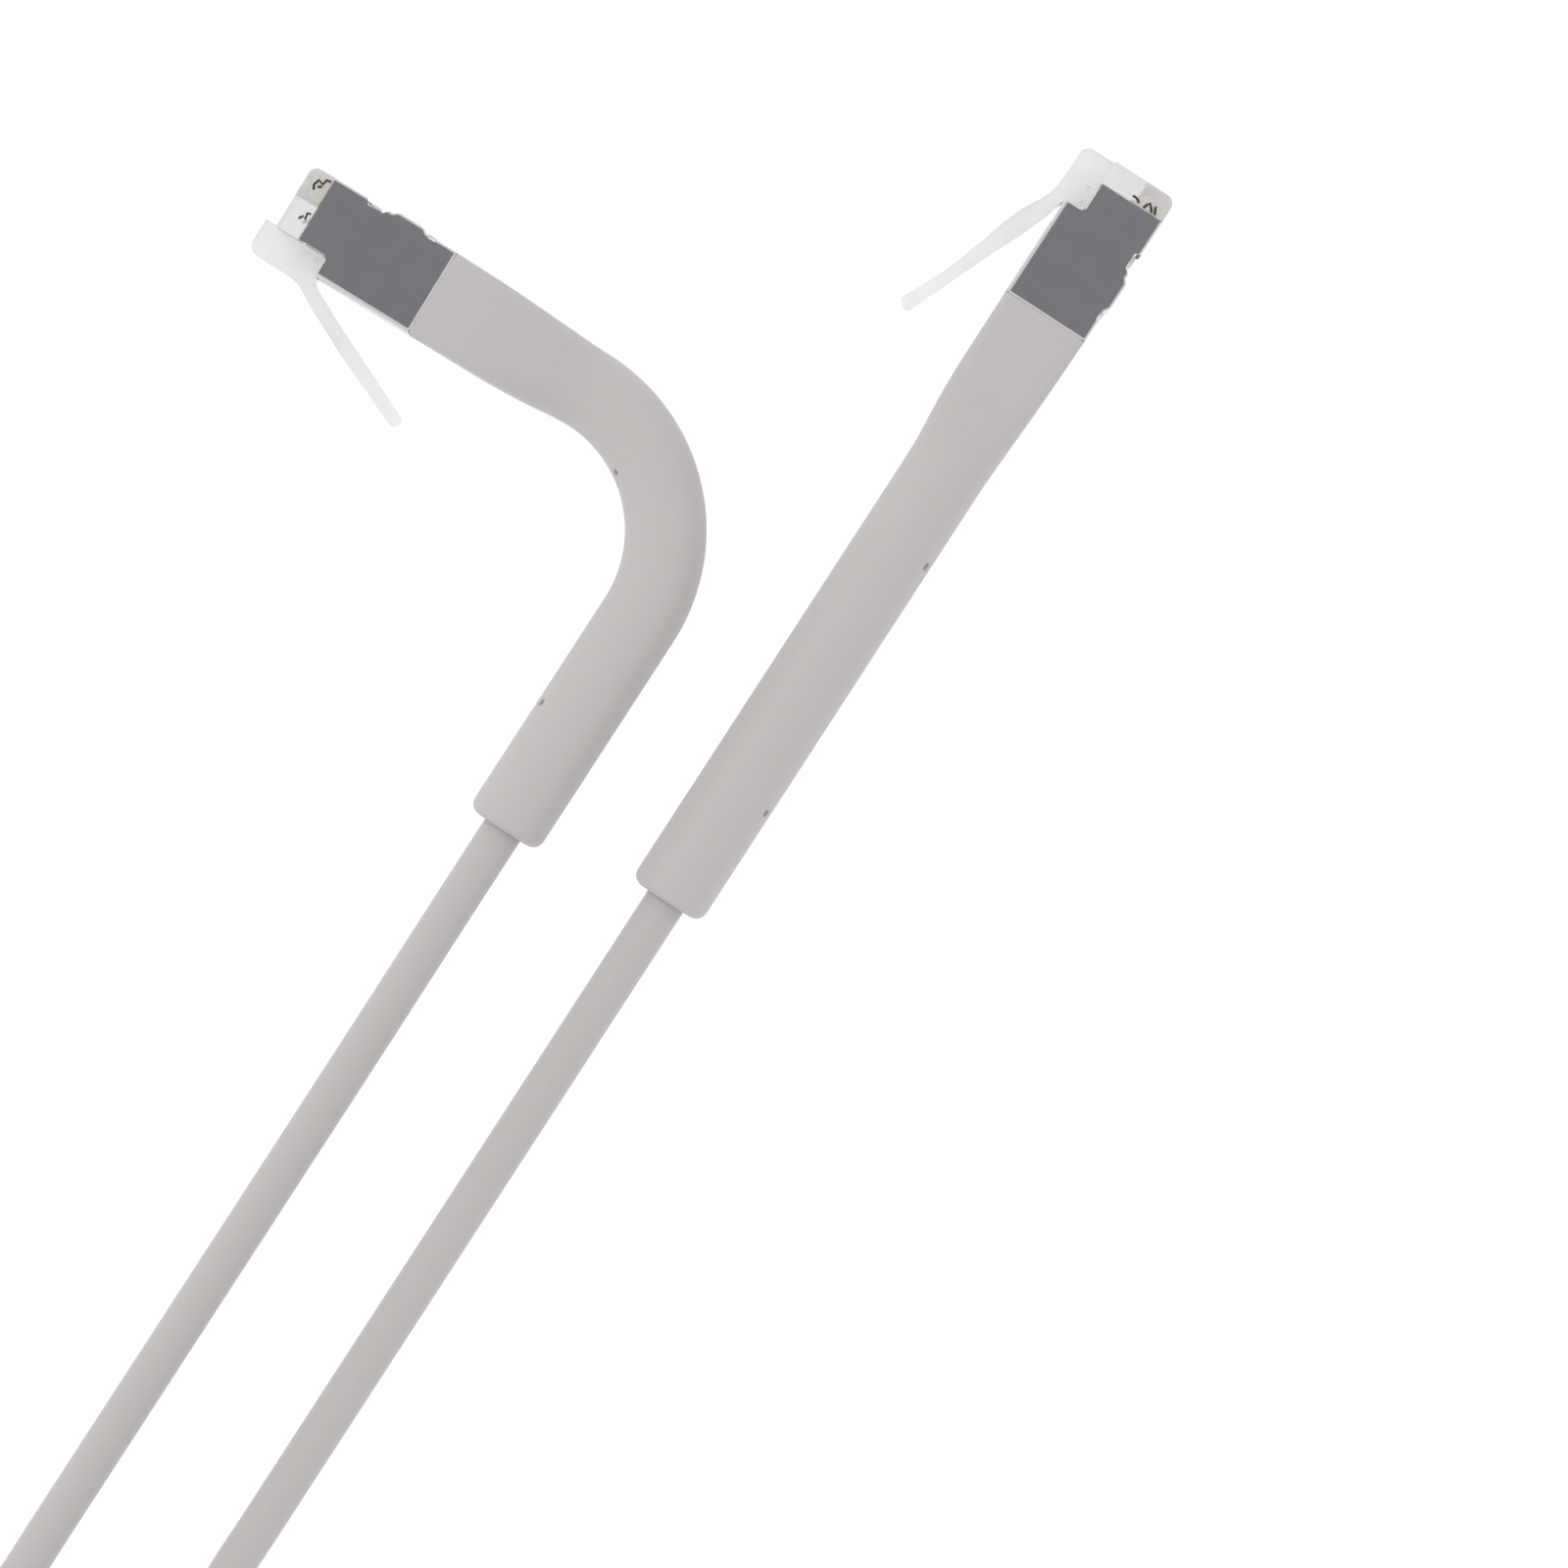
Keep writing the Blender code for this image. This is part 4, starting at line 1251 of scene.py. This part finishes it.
    def front_rings(self, start: float) -> list[list[Point]]:
        """Draws the neck and block up to the front face, then the pocket that holds the plug's tail.

        Args:
            start: Where the last seam lies.

        Returns:
            The rings, from the seam round to the bore's inner end.
        """
        sides, edge = self.sides, 0.12
        rings = [self.outer_ring(x) for x in self.stations(start, -edge)]
        for i in range(1, 4):
            angle = math.pi / 2 * i / 3
            rings.append(self.outer_ring(-edge + edge * math.sin(angle), edge * (1 - math.cos(angle))))
        rings += [
            round_box_ring(0.0, *self.pocket, sides),
            round_box_ring(self.pocket_end, *self.pocket, sides),
            round_ring(self.pocket_end - self.step, self.crimp_radius, sides),
            round_ring(self.crimp_end, self.crimp_radius, sides),
            round_ring(self.crimp_end - self.step, self.bore, sides),
            round_ring(self.stub_end, self.bore, sides),
        ]
        return rings

    def skin(
        self, name: str, rings: list[list[Point]], hinge: int, nodes: list[str]
    ) -> bpy.types.Object:
        """One closed stretch of the boot.

        Args:
            name: The piece's name.
            rings: Its rings, in the straight boot's frame.
            hinge: The number of its hinge, from the rear.
            nodes: The CAD nodes that it stands for.

        Returns:
            The piece.
        """
        straight = np.array([point for ring in rings for point in ring], np.float32)
        placed = [[tuple(self.end.bent(point) / MM) for point in ring] for ring in rings]
        piece = add_piece(name, loft(placed), [self.wardrobe[f"{self.end.prefix} boot"]], TO_METRES, straight)
        reach = self.straight_reach if self.end.bend_deg == 0.0 else self.bent_reach
        x = PIVOT_XS[hinge]
        start, end = self.end.at(hinge, x - reach), self.end.at(hinge + 1, x + reach)
        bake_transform(piece)
        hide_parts(*nodes)
        return piece

    def build(self) -> list[bpy.types.Object]:
        """Makes the boot's six stretches, each with one hinge, meeting at the middles of the links.

        Returns:
            The pieces, from the rear.
        """
        p = self.end.prefix
        seams = [x + HALF_SPACING for x in PIVOT_XS[:-1]]
        rear = self.rear_rings(seams[0])
        pieces = [self.skin(f"{p}_boot_rear", rear, 0, [f"{p}_boot_sleeve"])]
        for i in range(1, 5):
            rings = [self.outer_ring(x) for x in self.stations(seams[i - 1], seams[i])]
            pieces.append(self.skin(f"{p}_boot_bend_{i}", rings, i, [f"{p}_boot_link_{i}"]))
        front = self.front_rings(seams[4])
        nodes = [f"{p}_boot_link_5", f"{p}_boot_collar"]
        pieces.append(self.skin(f"{p}_boot_front", front, 5, nodes))
        return pieces


# ---------------------------------------------------------------- plug


# The notches across the can's contact side, how far along it and how far in
CATCH_NOTCH = ((7.15, -1.0), (7.15, 0.06), (7.6, 0.56), (9.05, 0.56), (9.36, 0.1), (9.36, -1.0))
REAR_NOTCH = ((2.1, -1.0), (2.2, 0.3), (3.0, 0.3), (3.12, -1.0))
# The can's raised band on its contact side: where along it, and how far out
CONTACT_BAND = (
    (3.2, 0.0), (3.35, 0.06), (3.65, 0.28), (3.85, 0.34), (6.2, 0.34), (6.4, 0.28), (6.65, 0.06), (6.8, 0.0),
)
# The housing's catches that show in the notches: the front one from the can's contact side
REAR_CATCH = ((2.15, -3.8), (2.2, -4.3), (2.95, -4.3), (3.05, -3.8))
FRONT_CATCH = ((7.6, 0.5), (7.95, 0.22), (8.7, 0.22), (8.95, 0.5))
# Half the tongue's width along a latch, growing from the tongue to the shoulders
LATCH_SHOULDER = (
    (2.2, 1.625), (3.3, 1.625), (4.4, 1.7), (5.6, 2.08), (6.9, 2.7), (8.1, 3.06), (9.2, 3.12),
)
GATE_MARKS = ((12.0, 3.15), (10.55, 2.85))  # the pits that the mould leaves in a latch's root
# The bent dark strips let into each nose's side: painted shadow that shows through the clear plastic, not a
# part
SHADOW_STROKES = {
    "near": (
        ((13.36, -0.7), (13.34, -1.1), (13.2, -1.4), (13.05, -1.5)),
        ((12.95, -2.1), (13.3, -2.2), (13.6, -2.4), (13.35, -2.65), (12.95, -2.95)),
        ((12.95, -3.3), (13.3, -3.1), (13.65, -2.95)),
    ),
    "far": (
        ((13.95, -2.3), (14.15, -2.75), (13.95, -3.3), (13.5, -3.1), (13.35, -3.65), (12.95, -3.7)),
        ((13.75, -2.7), (13.45, -2.9)),
        ((13.75, 0.6), (13.5, 0.2), (13.2, 0.4), (13.3, -0.2), (12.98, -0.3)),
    ),
}


class LatchShape(Enum):
    """The two ends' latches, back along the top from the root, round the tip, and forward below."""

    LOW = (
        ((15.1, 4.55), (14.95, 5.0), (14.65, 5.3), (14.2, 5.43)),
        ((12.6, 5.43), (11.5, 5.44), (10.6, 5.52), (9.8, 5.7), (9.0, 6.03), (8.0, 6.58), (6.98, 7.13),
         (4.94, 7.9), (2.55, 8.58), (-1.19, 9.85), (-3.3, 10.8), (-5.28, 11.73)),
        ((-5.6, 11.72), (-5.95, 11.5), (-6.2, 11.1), (-6.18, 10.72), (-5.9, 10.5)),
        ((-4.25, 9.85), (-0.17, 8.15), (2.55, 7.05), (4.6, 6.1), (7.3, 5.05), (8.6, 4.62), (9.4, 4.42)),
        ((9.8, 4.1), (9.8, 2.75), (9.95, 2.41), (10.3, 2.26), (15.1, 2.26)),
    )
    HOOKED = (
        ((16.4, 4.35), (16.25, 4.9), (15.85, 5.28), (15.3, 5.43)),
        ((13.4, 5.43), (12.4, 5.43), (11.5, 5.52), (10.8, 5.72), (10.15, 6.02), (8.8, 6.8), (6.2, 8.12),
         (3.7, 9.35), (1.0, 10.53), (-1.6, 11.65)),
        ((-2.2, 11.93), (-2.75, 12.12), (-3.1, 12.1), (-3.35, 11.85), (-3.45, 11.4), (-3.3, 11.05)),
        ((1.0, 9.02), (5.4, 7.0), (8.0, 5.7), (9.3, 5.02)),
        ((9.75, 4.75), (9.8, 4.3), (9.8, 2.75), (9.95, 2.41), (10.3, 2.26), (15.1, 2.26), (15.1, 2.1),
         (16.4, 2.1)),
    )


@dataclass
class Plug:
    """One plug: its clear housing and latch, shield can, contacts, wires, bar and crimp."""

    end: EndFrame
    wardrobe: Wardrobe
    latch_shape: LatchShape
    positions: int = 8
    pitch: float = 1.016
    rows: tuple[float, float] = (-0.75, 0.2)
    wire_radius: float = 0.42
    wire_ends: tuple[float, float] = (-6.7, 12.2)
    nose: float = 15.1
    nose_corner: float = 0.85
    latch_half_width: float = 3.1
    shield_front: float = 12.73
    half_height: float = 4.24
    sheet: float = 0.25
    flare: float = 0.12
    can_sides: int = 48
    wire_colours: tuple[str, ...] = (
        "wire_white_orange", "wire_orange", "wire_white_green", "wire_blue",
        "wire_white_blue", "wire_green", "wire_white_brown", "wire_brown",
    )

    def wire_places(self) -> list[tuple[float, float]]:
        """The place of each wire in Y and Z, in two rows that take turns."""
        first = -self.pitch * (self.positions - 1) / 2
        return [(self.rows[i % 2], first + self.pitch * i) for i in range(self.positions)]

    def finish_piece(self, piece: bpy.types.Object, nodes: list[str]) -> bpy.types.Object:
        """Rides a piece on the plug's body, and hides the nodes that it stands for.

        Args:
            piece: The piece.
            nodes: The nodes that it stands for, without the end's prefix.

        Returns:
            The same piece.
        """
        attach(piece, f"{self.end.prefix}_plug")
        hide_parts(*[f"{self.end.prefix}_{node}" for node in nodes])
        return piece

    def housing(self) -> bpy.types.Object:
        """Makes the clear body: the nose, the core inside the shield, its catches, and the tail in the boot.

        Returns:
            The piece.
        """
        inner_y, inner_z = self.half_height - 0.35, HALF_WIDTH - 0.35
        core = block((0.77, 9.7), (-inner_y, inner_y), (-inner_z, inner_z))
        parts = [
            block((9.6, self.shield_front + 0.2), (-inner_y, 2.06), (-inner_z, inner_z)),
            prism(self.nose_outline(), -HALF_WIDTH, HALF_WIDTH),
            block((-6.4, 0.87), (-3.0, 3.0), (-4.6, 4.6)),
            prism(REAR_CATCH, 0.05 - HALF_WIDTH, HALF_WIDTH - 0.05),
        ]
        solid = combine(core, parts, "UNION")
        cuts = [block((-6.7, 12.5), (-1.75, 1.2), (-4.56, 4.56))]
        for _, z in self.wire_places():
            cuts.append(block((9.7, self.nose + 0.3), (-4.5, -1.17), (z - 0.275, z + 0.275)))
        h = self.half_height
        cuts.append(prism([(x, y - h) for x, y in CATCH_NOTCH], -HALF_WIDTH, HALF_WIDTH))
        catch = prism([(x, y - h) for x, y in FRONT_CATCH], 0.3 - HALF_WIDTH, HALF_WIDTH - 0.3)
        shape = join([bevelled(combine(solid, cuts, "DIFFERENCE"), 0.12, 2), bevelled(catch, 0.06, 2)])
        clear = self.wardrobe["clear moulding"]
        piece = add_piece(f"{self.end.prefix}_housing", shape, [clear], self.end.plug)
        return self.finish_piece(piece, ["plug_housing"])

    def nose_outline(self) -> Outline:
        """The nose's side, with a round corner in front of the contacts."""
        start, r = self.shield_front + 0.08, self.nose_corner
        return [(start, 2.25), (start, -4.2), *arc((self.nose - r, r - 4.2), r, -90, 0, 8), (self.nose, 2.25)]

    def latch(self) -> bpy.types.Object:
        """Makes the latch's root and tongue in one moulding.

        Returns:
            The piece.
        """
        corner, top, tip, low, foot = self.latch_shape.value
        outline = [*corner, *smooth_outline([corner[-1], *top])[1:], *tip]
        outline += [*smooth_outline([tip[-1], *low])[1:], *foot]
        whole = prism(outline, -self.latch_half_width, self.latch_half_width)
        flank = [(-8.0, LATCH_SHOULDER[0][1]), *smooth_outline(LATCH_SHOULDER), (9.2, 6.0), (-8.0, 6.0)]
        sides = [loft([[(x, y, side * z) for x, z in flank] for y in (0.0, 14.0)]) for side in (-1, 1)]
        rounds = [arc(centre, 0.13, 0, 330, 11) for centre in GATE_MARKS]
        pits = [prism(outline, z, z + 0.6) for outline in rounds for z in (-3.4, 2.8)]
        shape = bevelled(combine(whole, [*sides, *pits], "DIFFERENCE"), 0.16, 3, 50.0)
        p = self.end.prefix
        piece = add_piece(f"{p}_latch", shape, [self.wardrobe["clear moulding"]], self.end.plug)
        start, end = (self.end.at(-1, *point) for point in ((10.6, 4.2), (9.3, 5.4)))
        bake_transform(piece)
        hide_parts(f"{p}_latch_lever")
        return piece

    def shield(self) -> bpy.types.Object:
        """Makes the can: folded sheet, cut for the latch and the contacts, and its crimped tail.

        Returns:
            The piece.
        """
        h, w, s = self.half_height, HALF_WIDTH, self.sheet
        rear, front = 0.02, self.shield_front
        rings = [self.can_ring(rear, 0.0, flare=self.flare)]
        rings += [self.can_ring(x, 0.0) for x in (0.2, 0.3)]
        rings += [self.can_ring(x, 0.0, out=out) for x, out in CONTACT_BAND]
        rings.append(self.can_ring(front, 0.0))
        rings += [self.can_ring(x, s) for x in (front, rear)]
        can = self.hollow(rings)
        latch_corner = [(14.0, 2.16), (14.0, h + 1.0), (9.7, h + 1.0), *arc((10.2, 2.66), 0.5, 180, 270, 6)]
        notches = [[(x, y - h) for x, y in notch] for notch in (CATCH_NOTCH, REAR_NOTCH)]
        cuts = [
            prism(latch_corner, -w - 1.0, w + 1.0),
            block((7.0, 14.0), (-h - 1.0, -h + s + 0.05), (-4.06, 4.06)),
            *[prism(notch, -w - 1.0, w + 1.0) for notch in notches],
        ]
        body = combine(can, cuts, "DIFFERENCE")
        strap = [
            block((0.17, 0.67), (-h + 0.1, -3.1), (-2.0, 2.0)),
            block((-6.7, 0.42), (-3.35, -3.1), (-2.0, 2.0)),
            block((-6.95, -6.7), (-3.35, -2.0), (-1.0, 1.0)),
        ]
        ring = combine(rod(2.25, -9.7, -6.8, sides=48), [rod(2.0, -9.9, -6.6, sides=48)], "DIFFERENCE")
        shape = combine(body, [*strap, ring], "UNION")
        piece = add_piece(f"{self.end.prefix}_shield", shape, [self.wardrobe["nickel sheet"]], self.end.plug)
        return self.finish_piece(piece, ["shield_can"])

    def can_ring(self, x: float, inset: float, out: float = 0.0, flare: float = 0.0) -> list[Point]:
        """The can's section, with broad rounds on the latch side.

        Args:
            x: Where it lies.
            inset: How far in it is drawn all round.
            out: How far its contact side is pushed out.
            flare: How much wider it is on each side.

        Returns:
            The section's points.
        """
        h, w = self.half_height - inset, HALF_WIDTH - inset + flare
        broad, tight = max(0.5 - inset, 0.1), max(0.3 - inset, 0.05)
        points = []
        for i in range(self.can_sides):
            angle = 2 * math.pi * (i + 0.5) / self.can_sides
            across, up = math.cos(angle), math.sin(angle)
            r = broad if across > 0 else tight
            y = math.copysign(h - r, across) + r * across - (out if across < 0 else 0.0)
            points.append((x, y, math.copysign(w - r, up) + r * up))
        return points

    @staticmethod
    def hollow(rings: list[list[Point]]) -> bpy.types.Mesh:
        """Makes a tube through rings.

        Args:
            rings: The rings, out along its outside and back along its inside.

        Returns:
            The closed mesh.
        """
        bm = bmesh.new()
        loops = [[bm.verts.new(point) for point in ring] for ring in rings]
        count = len(loops[0])
        for first, second in zip(loops, loops[1:] + loops[:1]):
            for i in range(count):
                j = (i + 1) % count
                bm.faces.new((first[i], first[j], second[j], second[i]))
        return mesh_of(bm)

    def contacts(self, repeat: bpy.types.NodeTree) -> bpy.types.Object:
        """Makes the eight blades, repeated along the plug's width, and the dark strips of painted shadow in
        the nose's sides.

        Args:
            repeat: The tree that repeats a blade.

        Returns:
            The piece.
        """
        tip, shoulder, corner, middle = -1.27, -1.82, 0.5, 12.05
        outline = [(9.9, -3.85), *arc((13.7, -3.35), corner, -90, 0, 6), (14.2, shoulder), (13.7, tip)]
        outline += [(middle + corner, shoulder), (middle - corner, shoulder), (10.4, tip), (9.9, shoulder)]
        blade = bevelled(prism(outline, -0.175, 0.175), 0.06, 2)
        row = repeated(blade, repeat, self.positions, self.pitch, self.wardrobe["gold plate"])
        # the dark strips are painted shadow seen through the nose's sides, in their own dark finish
        ends = [self.shadow_stroke(line, side) for line in SHADOW_STROKES[self.end.prefix] for side in (-1, 1)]
        shape = join([row, *ends], [0] + [1] * len(ends))
        finishes = [self.wardrobe["gold plate"], self.wardrobe["painted shadow strips"]]
        piece = add_piece(f"{self.end.prefix}_contacts", shape, finishes, self.end.plug)
        return self.finish_piece(piece, [f"contact_{i + 1}" for i in range(self.positions)])

    def shadow_stroke(self, line: Sequence[tuple[float, float]], side: int) -> bpy.types.Mesh:
        """A thin bent dark strip of painted shadow, let into the nose's face.

        Args:
            line: Its middle line, in X and Y.
            side: Which face it is in, 1 or -1.

        Returns:
            The strip's mesh.
        """
        half, level, thin = 0.11, side * (HALF_WIDTH - 0.03), 0.05
        section = ((1, -thin), (-1, -thin), (-1, thin), (1, thin))
        rings = []
        for i, point in enumerate(line):
            before, after = Vector(line[max(i - 1, 0)]), Vector(line[min(i + 1, len(line) - 1)])
            ahead = (after - before).normalized()
            across = Vector((-ahead.y, ahead.x)) * half
            rings.append([(point[0] + k * across.x, point[1] + k * across.y, level + d) for k, d in section])
        return loft(rings)

    def wires(self) -> list[bpy.types.Object]:
        """Makes the eight wires, each an insulated strand with its core showing at the cut end.

        Returns:
            The pieces.
        """
        pieces = []
        start, end = self.wire_ends
        for i, ((y, z), colour) in enumerate(zip(self.wire_places(), self.wire_colours)):
            core = rod(0.26, end - 0.1, end + 0.12, y, z, 16)
            sleeve = rod(self.wire_radius, start, end, y, z, 20)
            shape = join([sleeve, core], [0, 1])
            materials = [self.wardrobe[colour], self.wardrobe["copper core"]]
            piece = add_piece(f"{self.end.prefix}_strand_{i + 1}", shape, materials, self.end.plug)
            pieces.append(self.finish_piece(piece, [f"wire_{i + 1}"]))
        return pieces

    def inner(self) -> list[bpy.types.Object]:
        """Makes the bar that keeps the wires apart, and the jacket's end inside the boot.

        Returns:
            Both pieces.
        """
        holes = [rod(self.wire_radius + 0.1, 2.7, 8.9, y, z, 20) for y, z in self.wire_places()]
        bar = combine(block((3.0, 8.6), (-1.65, 1.1), (-4.456, 4.456)), holes, "DIFFERENCE")
        p, place = self.end.prefix, self.end.plug
        comb = add_piece(f"{p}_comb", bevelled(bar, 0.08, 1), [self.wardrobe["bar plastic"]], place)
        stub = rod(CORD_RADIUS, -16.0, -6.96, sides=48)
        stump = add_piece(f"{p}_stump", stub, [self.wardrobe["jacket"]], place)
        return [
            self.finish_piece(comb, ["load_bar"]),
            self.finish_piece(stump, ["cord_stub"]),
        ]

    def build(self, repeat: bpy.types.NodeTree) -> list[bpy.types.Object]:
        """Makes the whole plug."""
        shells = [self.housing(), self.latch(), self.shield(), self.contacts(repeat)]
        return [*shells, *self.wires(), *self.inner()]


def repeat_tree() -> bpy.types.NodeTree:
    """Builds a tree that repeats its geometry along Z, centred, and gives every copy one material.

    Returns:
        The tree, with its inputs for the count, the pitch and the material.
    """
    tree = bpy.data.node_groups.new("Row of copies", "GeometryNodeTree")
    tree.interface.new_socket("Geometry", in_out="INPUT", socket_type="NodeSocketGeometry")
    tree.interface.new_socket("Count", in_out="INPUT", socket_type="NodeSocketInt")
    tree.interface.new_socket("Pitch", in_out="INPUT", socket_type="NodeSocketFloat")
    tree.interface.new_socket("Material", in_out="INPUT", socket_type="NodeSocketMaterial")
    tree.interface.new_socket("Geometry", in_out="OUTPUT", socket_type="NodeSocketGeometry")
    nodes = NodeTree(tree)
    given, result = nodes.add("NodeGroupInput"), nodes.add("NodeGroupOutput")
    gaps = nodes.maths("SUBTRACT", given.outputs["Count"], 1.0)
    first = nodes.maths("MULTIPLY", nodes.maths("MULTIPLY", gaps, given.outputs["Pitch"]), -0.5)
    start = nodes.add("ShaderNodeCombineXYZ", {"Z": first}).outputs[0]
    offset = nodes.add("ShaderNodeCombineXYZ", {"Z": given.outputs["Pitch"]}).outputs[0]
    inputs = {"Count": given.outputs["Count"], "Start Location": start, "Offset": offset}
    line = nodes.add("GeometryNodeMeshLine", inputs)
    inputs = {"Points": line.outputs["Mesh"], "Instance": given.outputs["Geometry"]}
    copies = nodes.add("GeometryNodeInstanceOnPoints", inputs)
    real = nodes.add("GeometryNodeRealizeInstances", {"Geometry": copies.outputs["Instances"]})
    inputs = {"Geometry": real.outputs["Geometry"], "Material": given.outputs["Material"]}
    dressed = nodes.add("GeometryNodeSetMaterial", inputs)
    nodes.tree.links.new(dressed.outputs["Geometry"], result.inputs["Geometry"])
    return tree


def repeated(
    mesh: bpy.types.Mesh, tree: bpy.types.NodeTree, count: int, pitch: float, material: bpy.types.Material
) -> bpy.types.Mesh:
    """A mesh repeated by the tree.

    Args:
        mesh: The mesh.
        tree: The tree that repeats it.
        count: How many copies there are.
        pitch: From one copy to the next, in millimetres.
        material: The copies' material.

    Returns:
        The row as a plain mesh.
    """
    values = {"Count": count, "Pitch": pitch, "Material": material}
    names = {item.name: item.identifier for item in tree.interface.items_tree if item.in_out == "INPUT"}

    def add(body: bpy.types.Object) -> None:
        """Puts the tree on the body with its values.

        Args:
            body: The object that holds the mesh.
        """
        modifier = body.modifiers.new("repeat", "NODES")
        modifier.node_group = tree
        for name, value in values.items():
            modifier[names[name]] = value

    return evaluated(mesh, add)


# ---------------------------------------------------------------- studio


@dataclass
class Studio:
    """The white table, the soft light and the camera straight above."""

    scale: float = 11.3  # what a millimetre at the plug's middle takes of the frame's width below
    frame_width: float = 1600.0
    lens: float = 250.0
    sensor: float = 36.0
    turn_deg: float = -57.0
    middle: Vector = field(default_factory=lambda: Vector((-48.0, -3.2, AXIS_HEIGHT)))
    sky: float = 0.95
    overhead: float = 0.262
    gleam: float = 1.05
    horizon: float = 0.42
    card_deg: tuple[float, float] = (28.0, 48.0)
    table_glow: float = 0.72
    lamp_watts: float = 8.0
    lamp_size: float = 1.2
    lamp_place: Vector = field(default_factory=lambda: Vector((0.2, 1.3, 1.6)))

    def camera(self) -> None:
        """The camera, square to the table."""
        data = bpy.data.cameras.new("camera")
        data.lens, data.sensor_width = self.lens, self.sensor
        data.clip_start, data.clip_end = 0.01, 20.0
        camera = bpy.data.objects.new("camera", data)
        bpy.context.scene.collection.objects.link(camera)
        distance = self.frame_width * self.lens / (self.sensor * self.scale)
        camera.location = (NEAR_ORIGIN + self.middle + Vector((0.0, 0.0, distance))) * MM
        camera.rotation_euler = (0.0, 0.0, math.radians(self.turn_deg))
        bpy.context.scene.camera = camera

    def world(self) -> None:
        """A white dome. Reflections show a grey card overhead and a grey horizon, for the metal's tone."""
        world = bpy.data.worlds.new("dome")
        bpy.context.scene.world = world
        world.use_nodes = True
        nodes = NodeTree(world.node_tree)
        background = world.node_tree.nodes["Background"]
        direction = nodes.add("ShaderNodeTexCoord").outputs["Generated"]
        height = nodes.add("ShaderNodeSeparateXYZ", {"Vector": direction}).outputs["Z"]
        inner, outer = (math.cos(math.radians(a)) for a in self.card_deg)
        card = nodes.span(height, outer, inner)
        path = nodes.add("ShaderNodeLightPath")
        seen_through = nodes.maths("SUBTRACT", 1.0, path.outputs["Is Transmission Ray"])
        glossy = nodes.maths("MULTIPLY", path.outputs["Is Glossy Ray"], seen_through)
        dark = [self.overhead * c for c in (1.0, 1.0, 1.02)]
        gleam = nodes.mix(nodes.span(height, 0.1, 0.34), rgba([self.horizon] * 3), rgba([self.gleam] * 3))
        sky = nodes.mix(glossy, rgba((1.0, 1.0, 1.0)), gleam)
        shown = nodes.mix(nodes.maths("MULTIPLY", card, glossy), sky, rgba(dark))
        nodes.tree.links.new(shown, background.inputs["Color"])
        background.inputs["Strength"].default_value = self.sky

    def table(self) -> None:
        """The white table top."""
        material, _, shader = new_material("table white")
        shader.inputs["Base Color"].default_value = (0.45, 0.45, 0.45, 1.0)
        shader.inputs["Roughness"].default_value = 1.0
        shader.inputs["Specular IOR Level"].default_value = 0.0
        shader.inputs["Emission Color"].default_value = (1.0, 1.0, 1.0, 1.0)
        shader.inputs["Emission Strength"].default_value = self.table_glow
        mesh = bpy.data.meshes.new("table")
        half, low = 3.0, -0.00005
        corners = [(x * half, y * half, low) for x, y in ((-1, -1), (1, -1), (1, 1), (-1, 1))]
        mesh.from_pydata(corners, [], [(0, 1, 2, 3)])
        mesh.materials.append(material)
        table = bpy.data.objects.new("table", mesh)
        bpy.context.scene.collection.objects.link(table)

    def lamps(self) -> None:
        """One broad lamp, up on the latch side."""
        data = bpy.data.lights.new("window", "AREA")
        data.shape, data.size = "DISK", self.lamp_size
        data.energy = self.lamp_watts
        lamp = bpy.data.objects.new("window", data)
        lamp.visible_glossy = False
        bpy.context.scene.collection.objects.link(lamp)
        lamp.location = self.lamp_place
        lamp.rotation_euler = (-self.lamp_place).to_track_quat("-Z", "Y").to_euler()

    def build(self) -> None:
        """Sets the whole studio."""
        bpy.context.scene.view_settings.view_transform = "Standard"
        self.camera()
        self.world()
        self.table()
        self.lamps()


def main() -> None:
    """Builds and dresses the cable, piece by piece."""
    logging.basicConfig(level=logging.INFO, format="%(message)s")
    for obj in list(bpy.data.objects):
        bpy.data.objects.remove(obj, do_unlink=True)
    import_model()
    Studio().build()
    effects = Effects()
    wardrobe = Wardrobe(effects)
    run = CordRun(wardrobe)
    cord, path, length = run.build()
    strap = CoilTie(wardrobe).build()
    near = EndFrame("near", NEAR_ORIGIN, 0.0)
    far = EndFrame("far", NEAR_ORIGIN + FAR_OFFSET, FAR_BEND_DEG)
    repeat = repeat_tree()
    far_pieces = [strap]
    for end, shape in ((near, LatchShape.LOW), (far, LatchShape.HOOKED)):
        built = [*Boot(end, wardrobe).build(), *Plug(end, wardrobe, shape).build(repeat)]
        if end is far:
            far_pieces += built


if __name__ == "__main__":
    main()
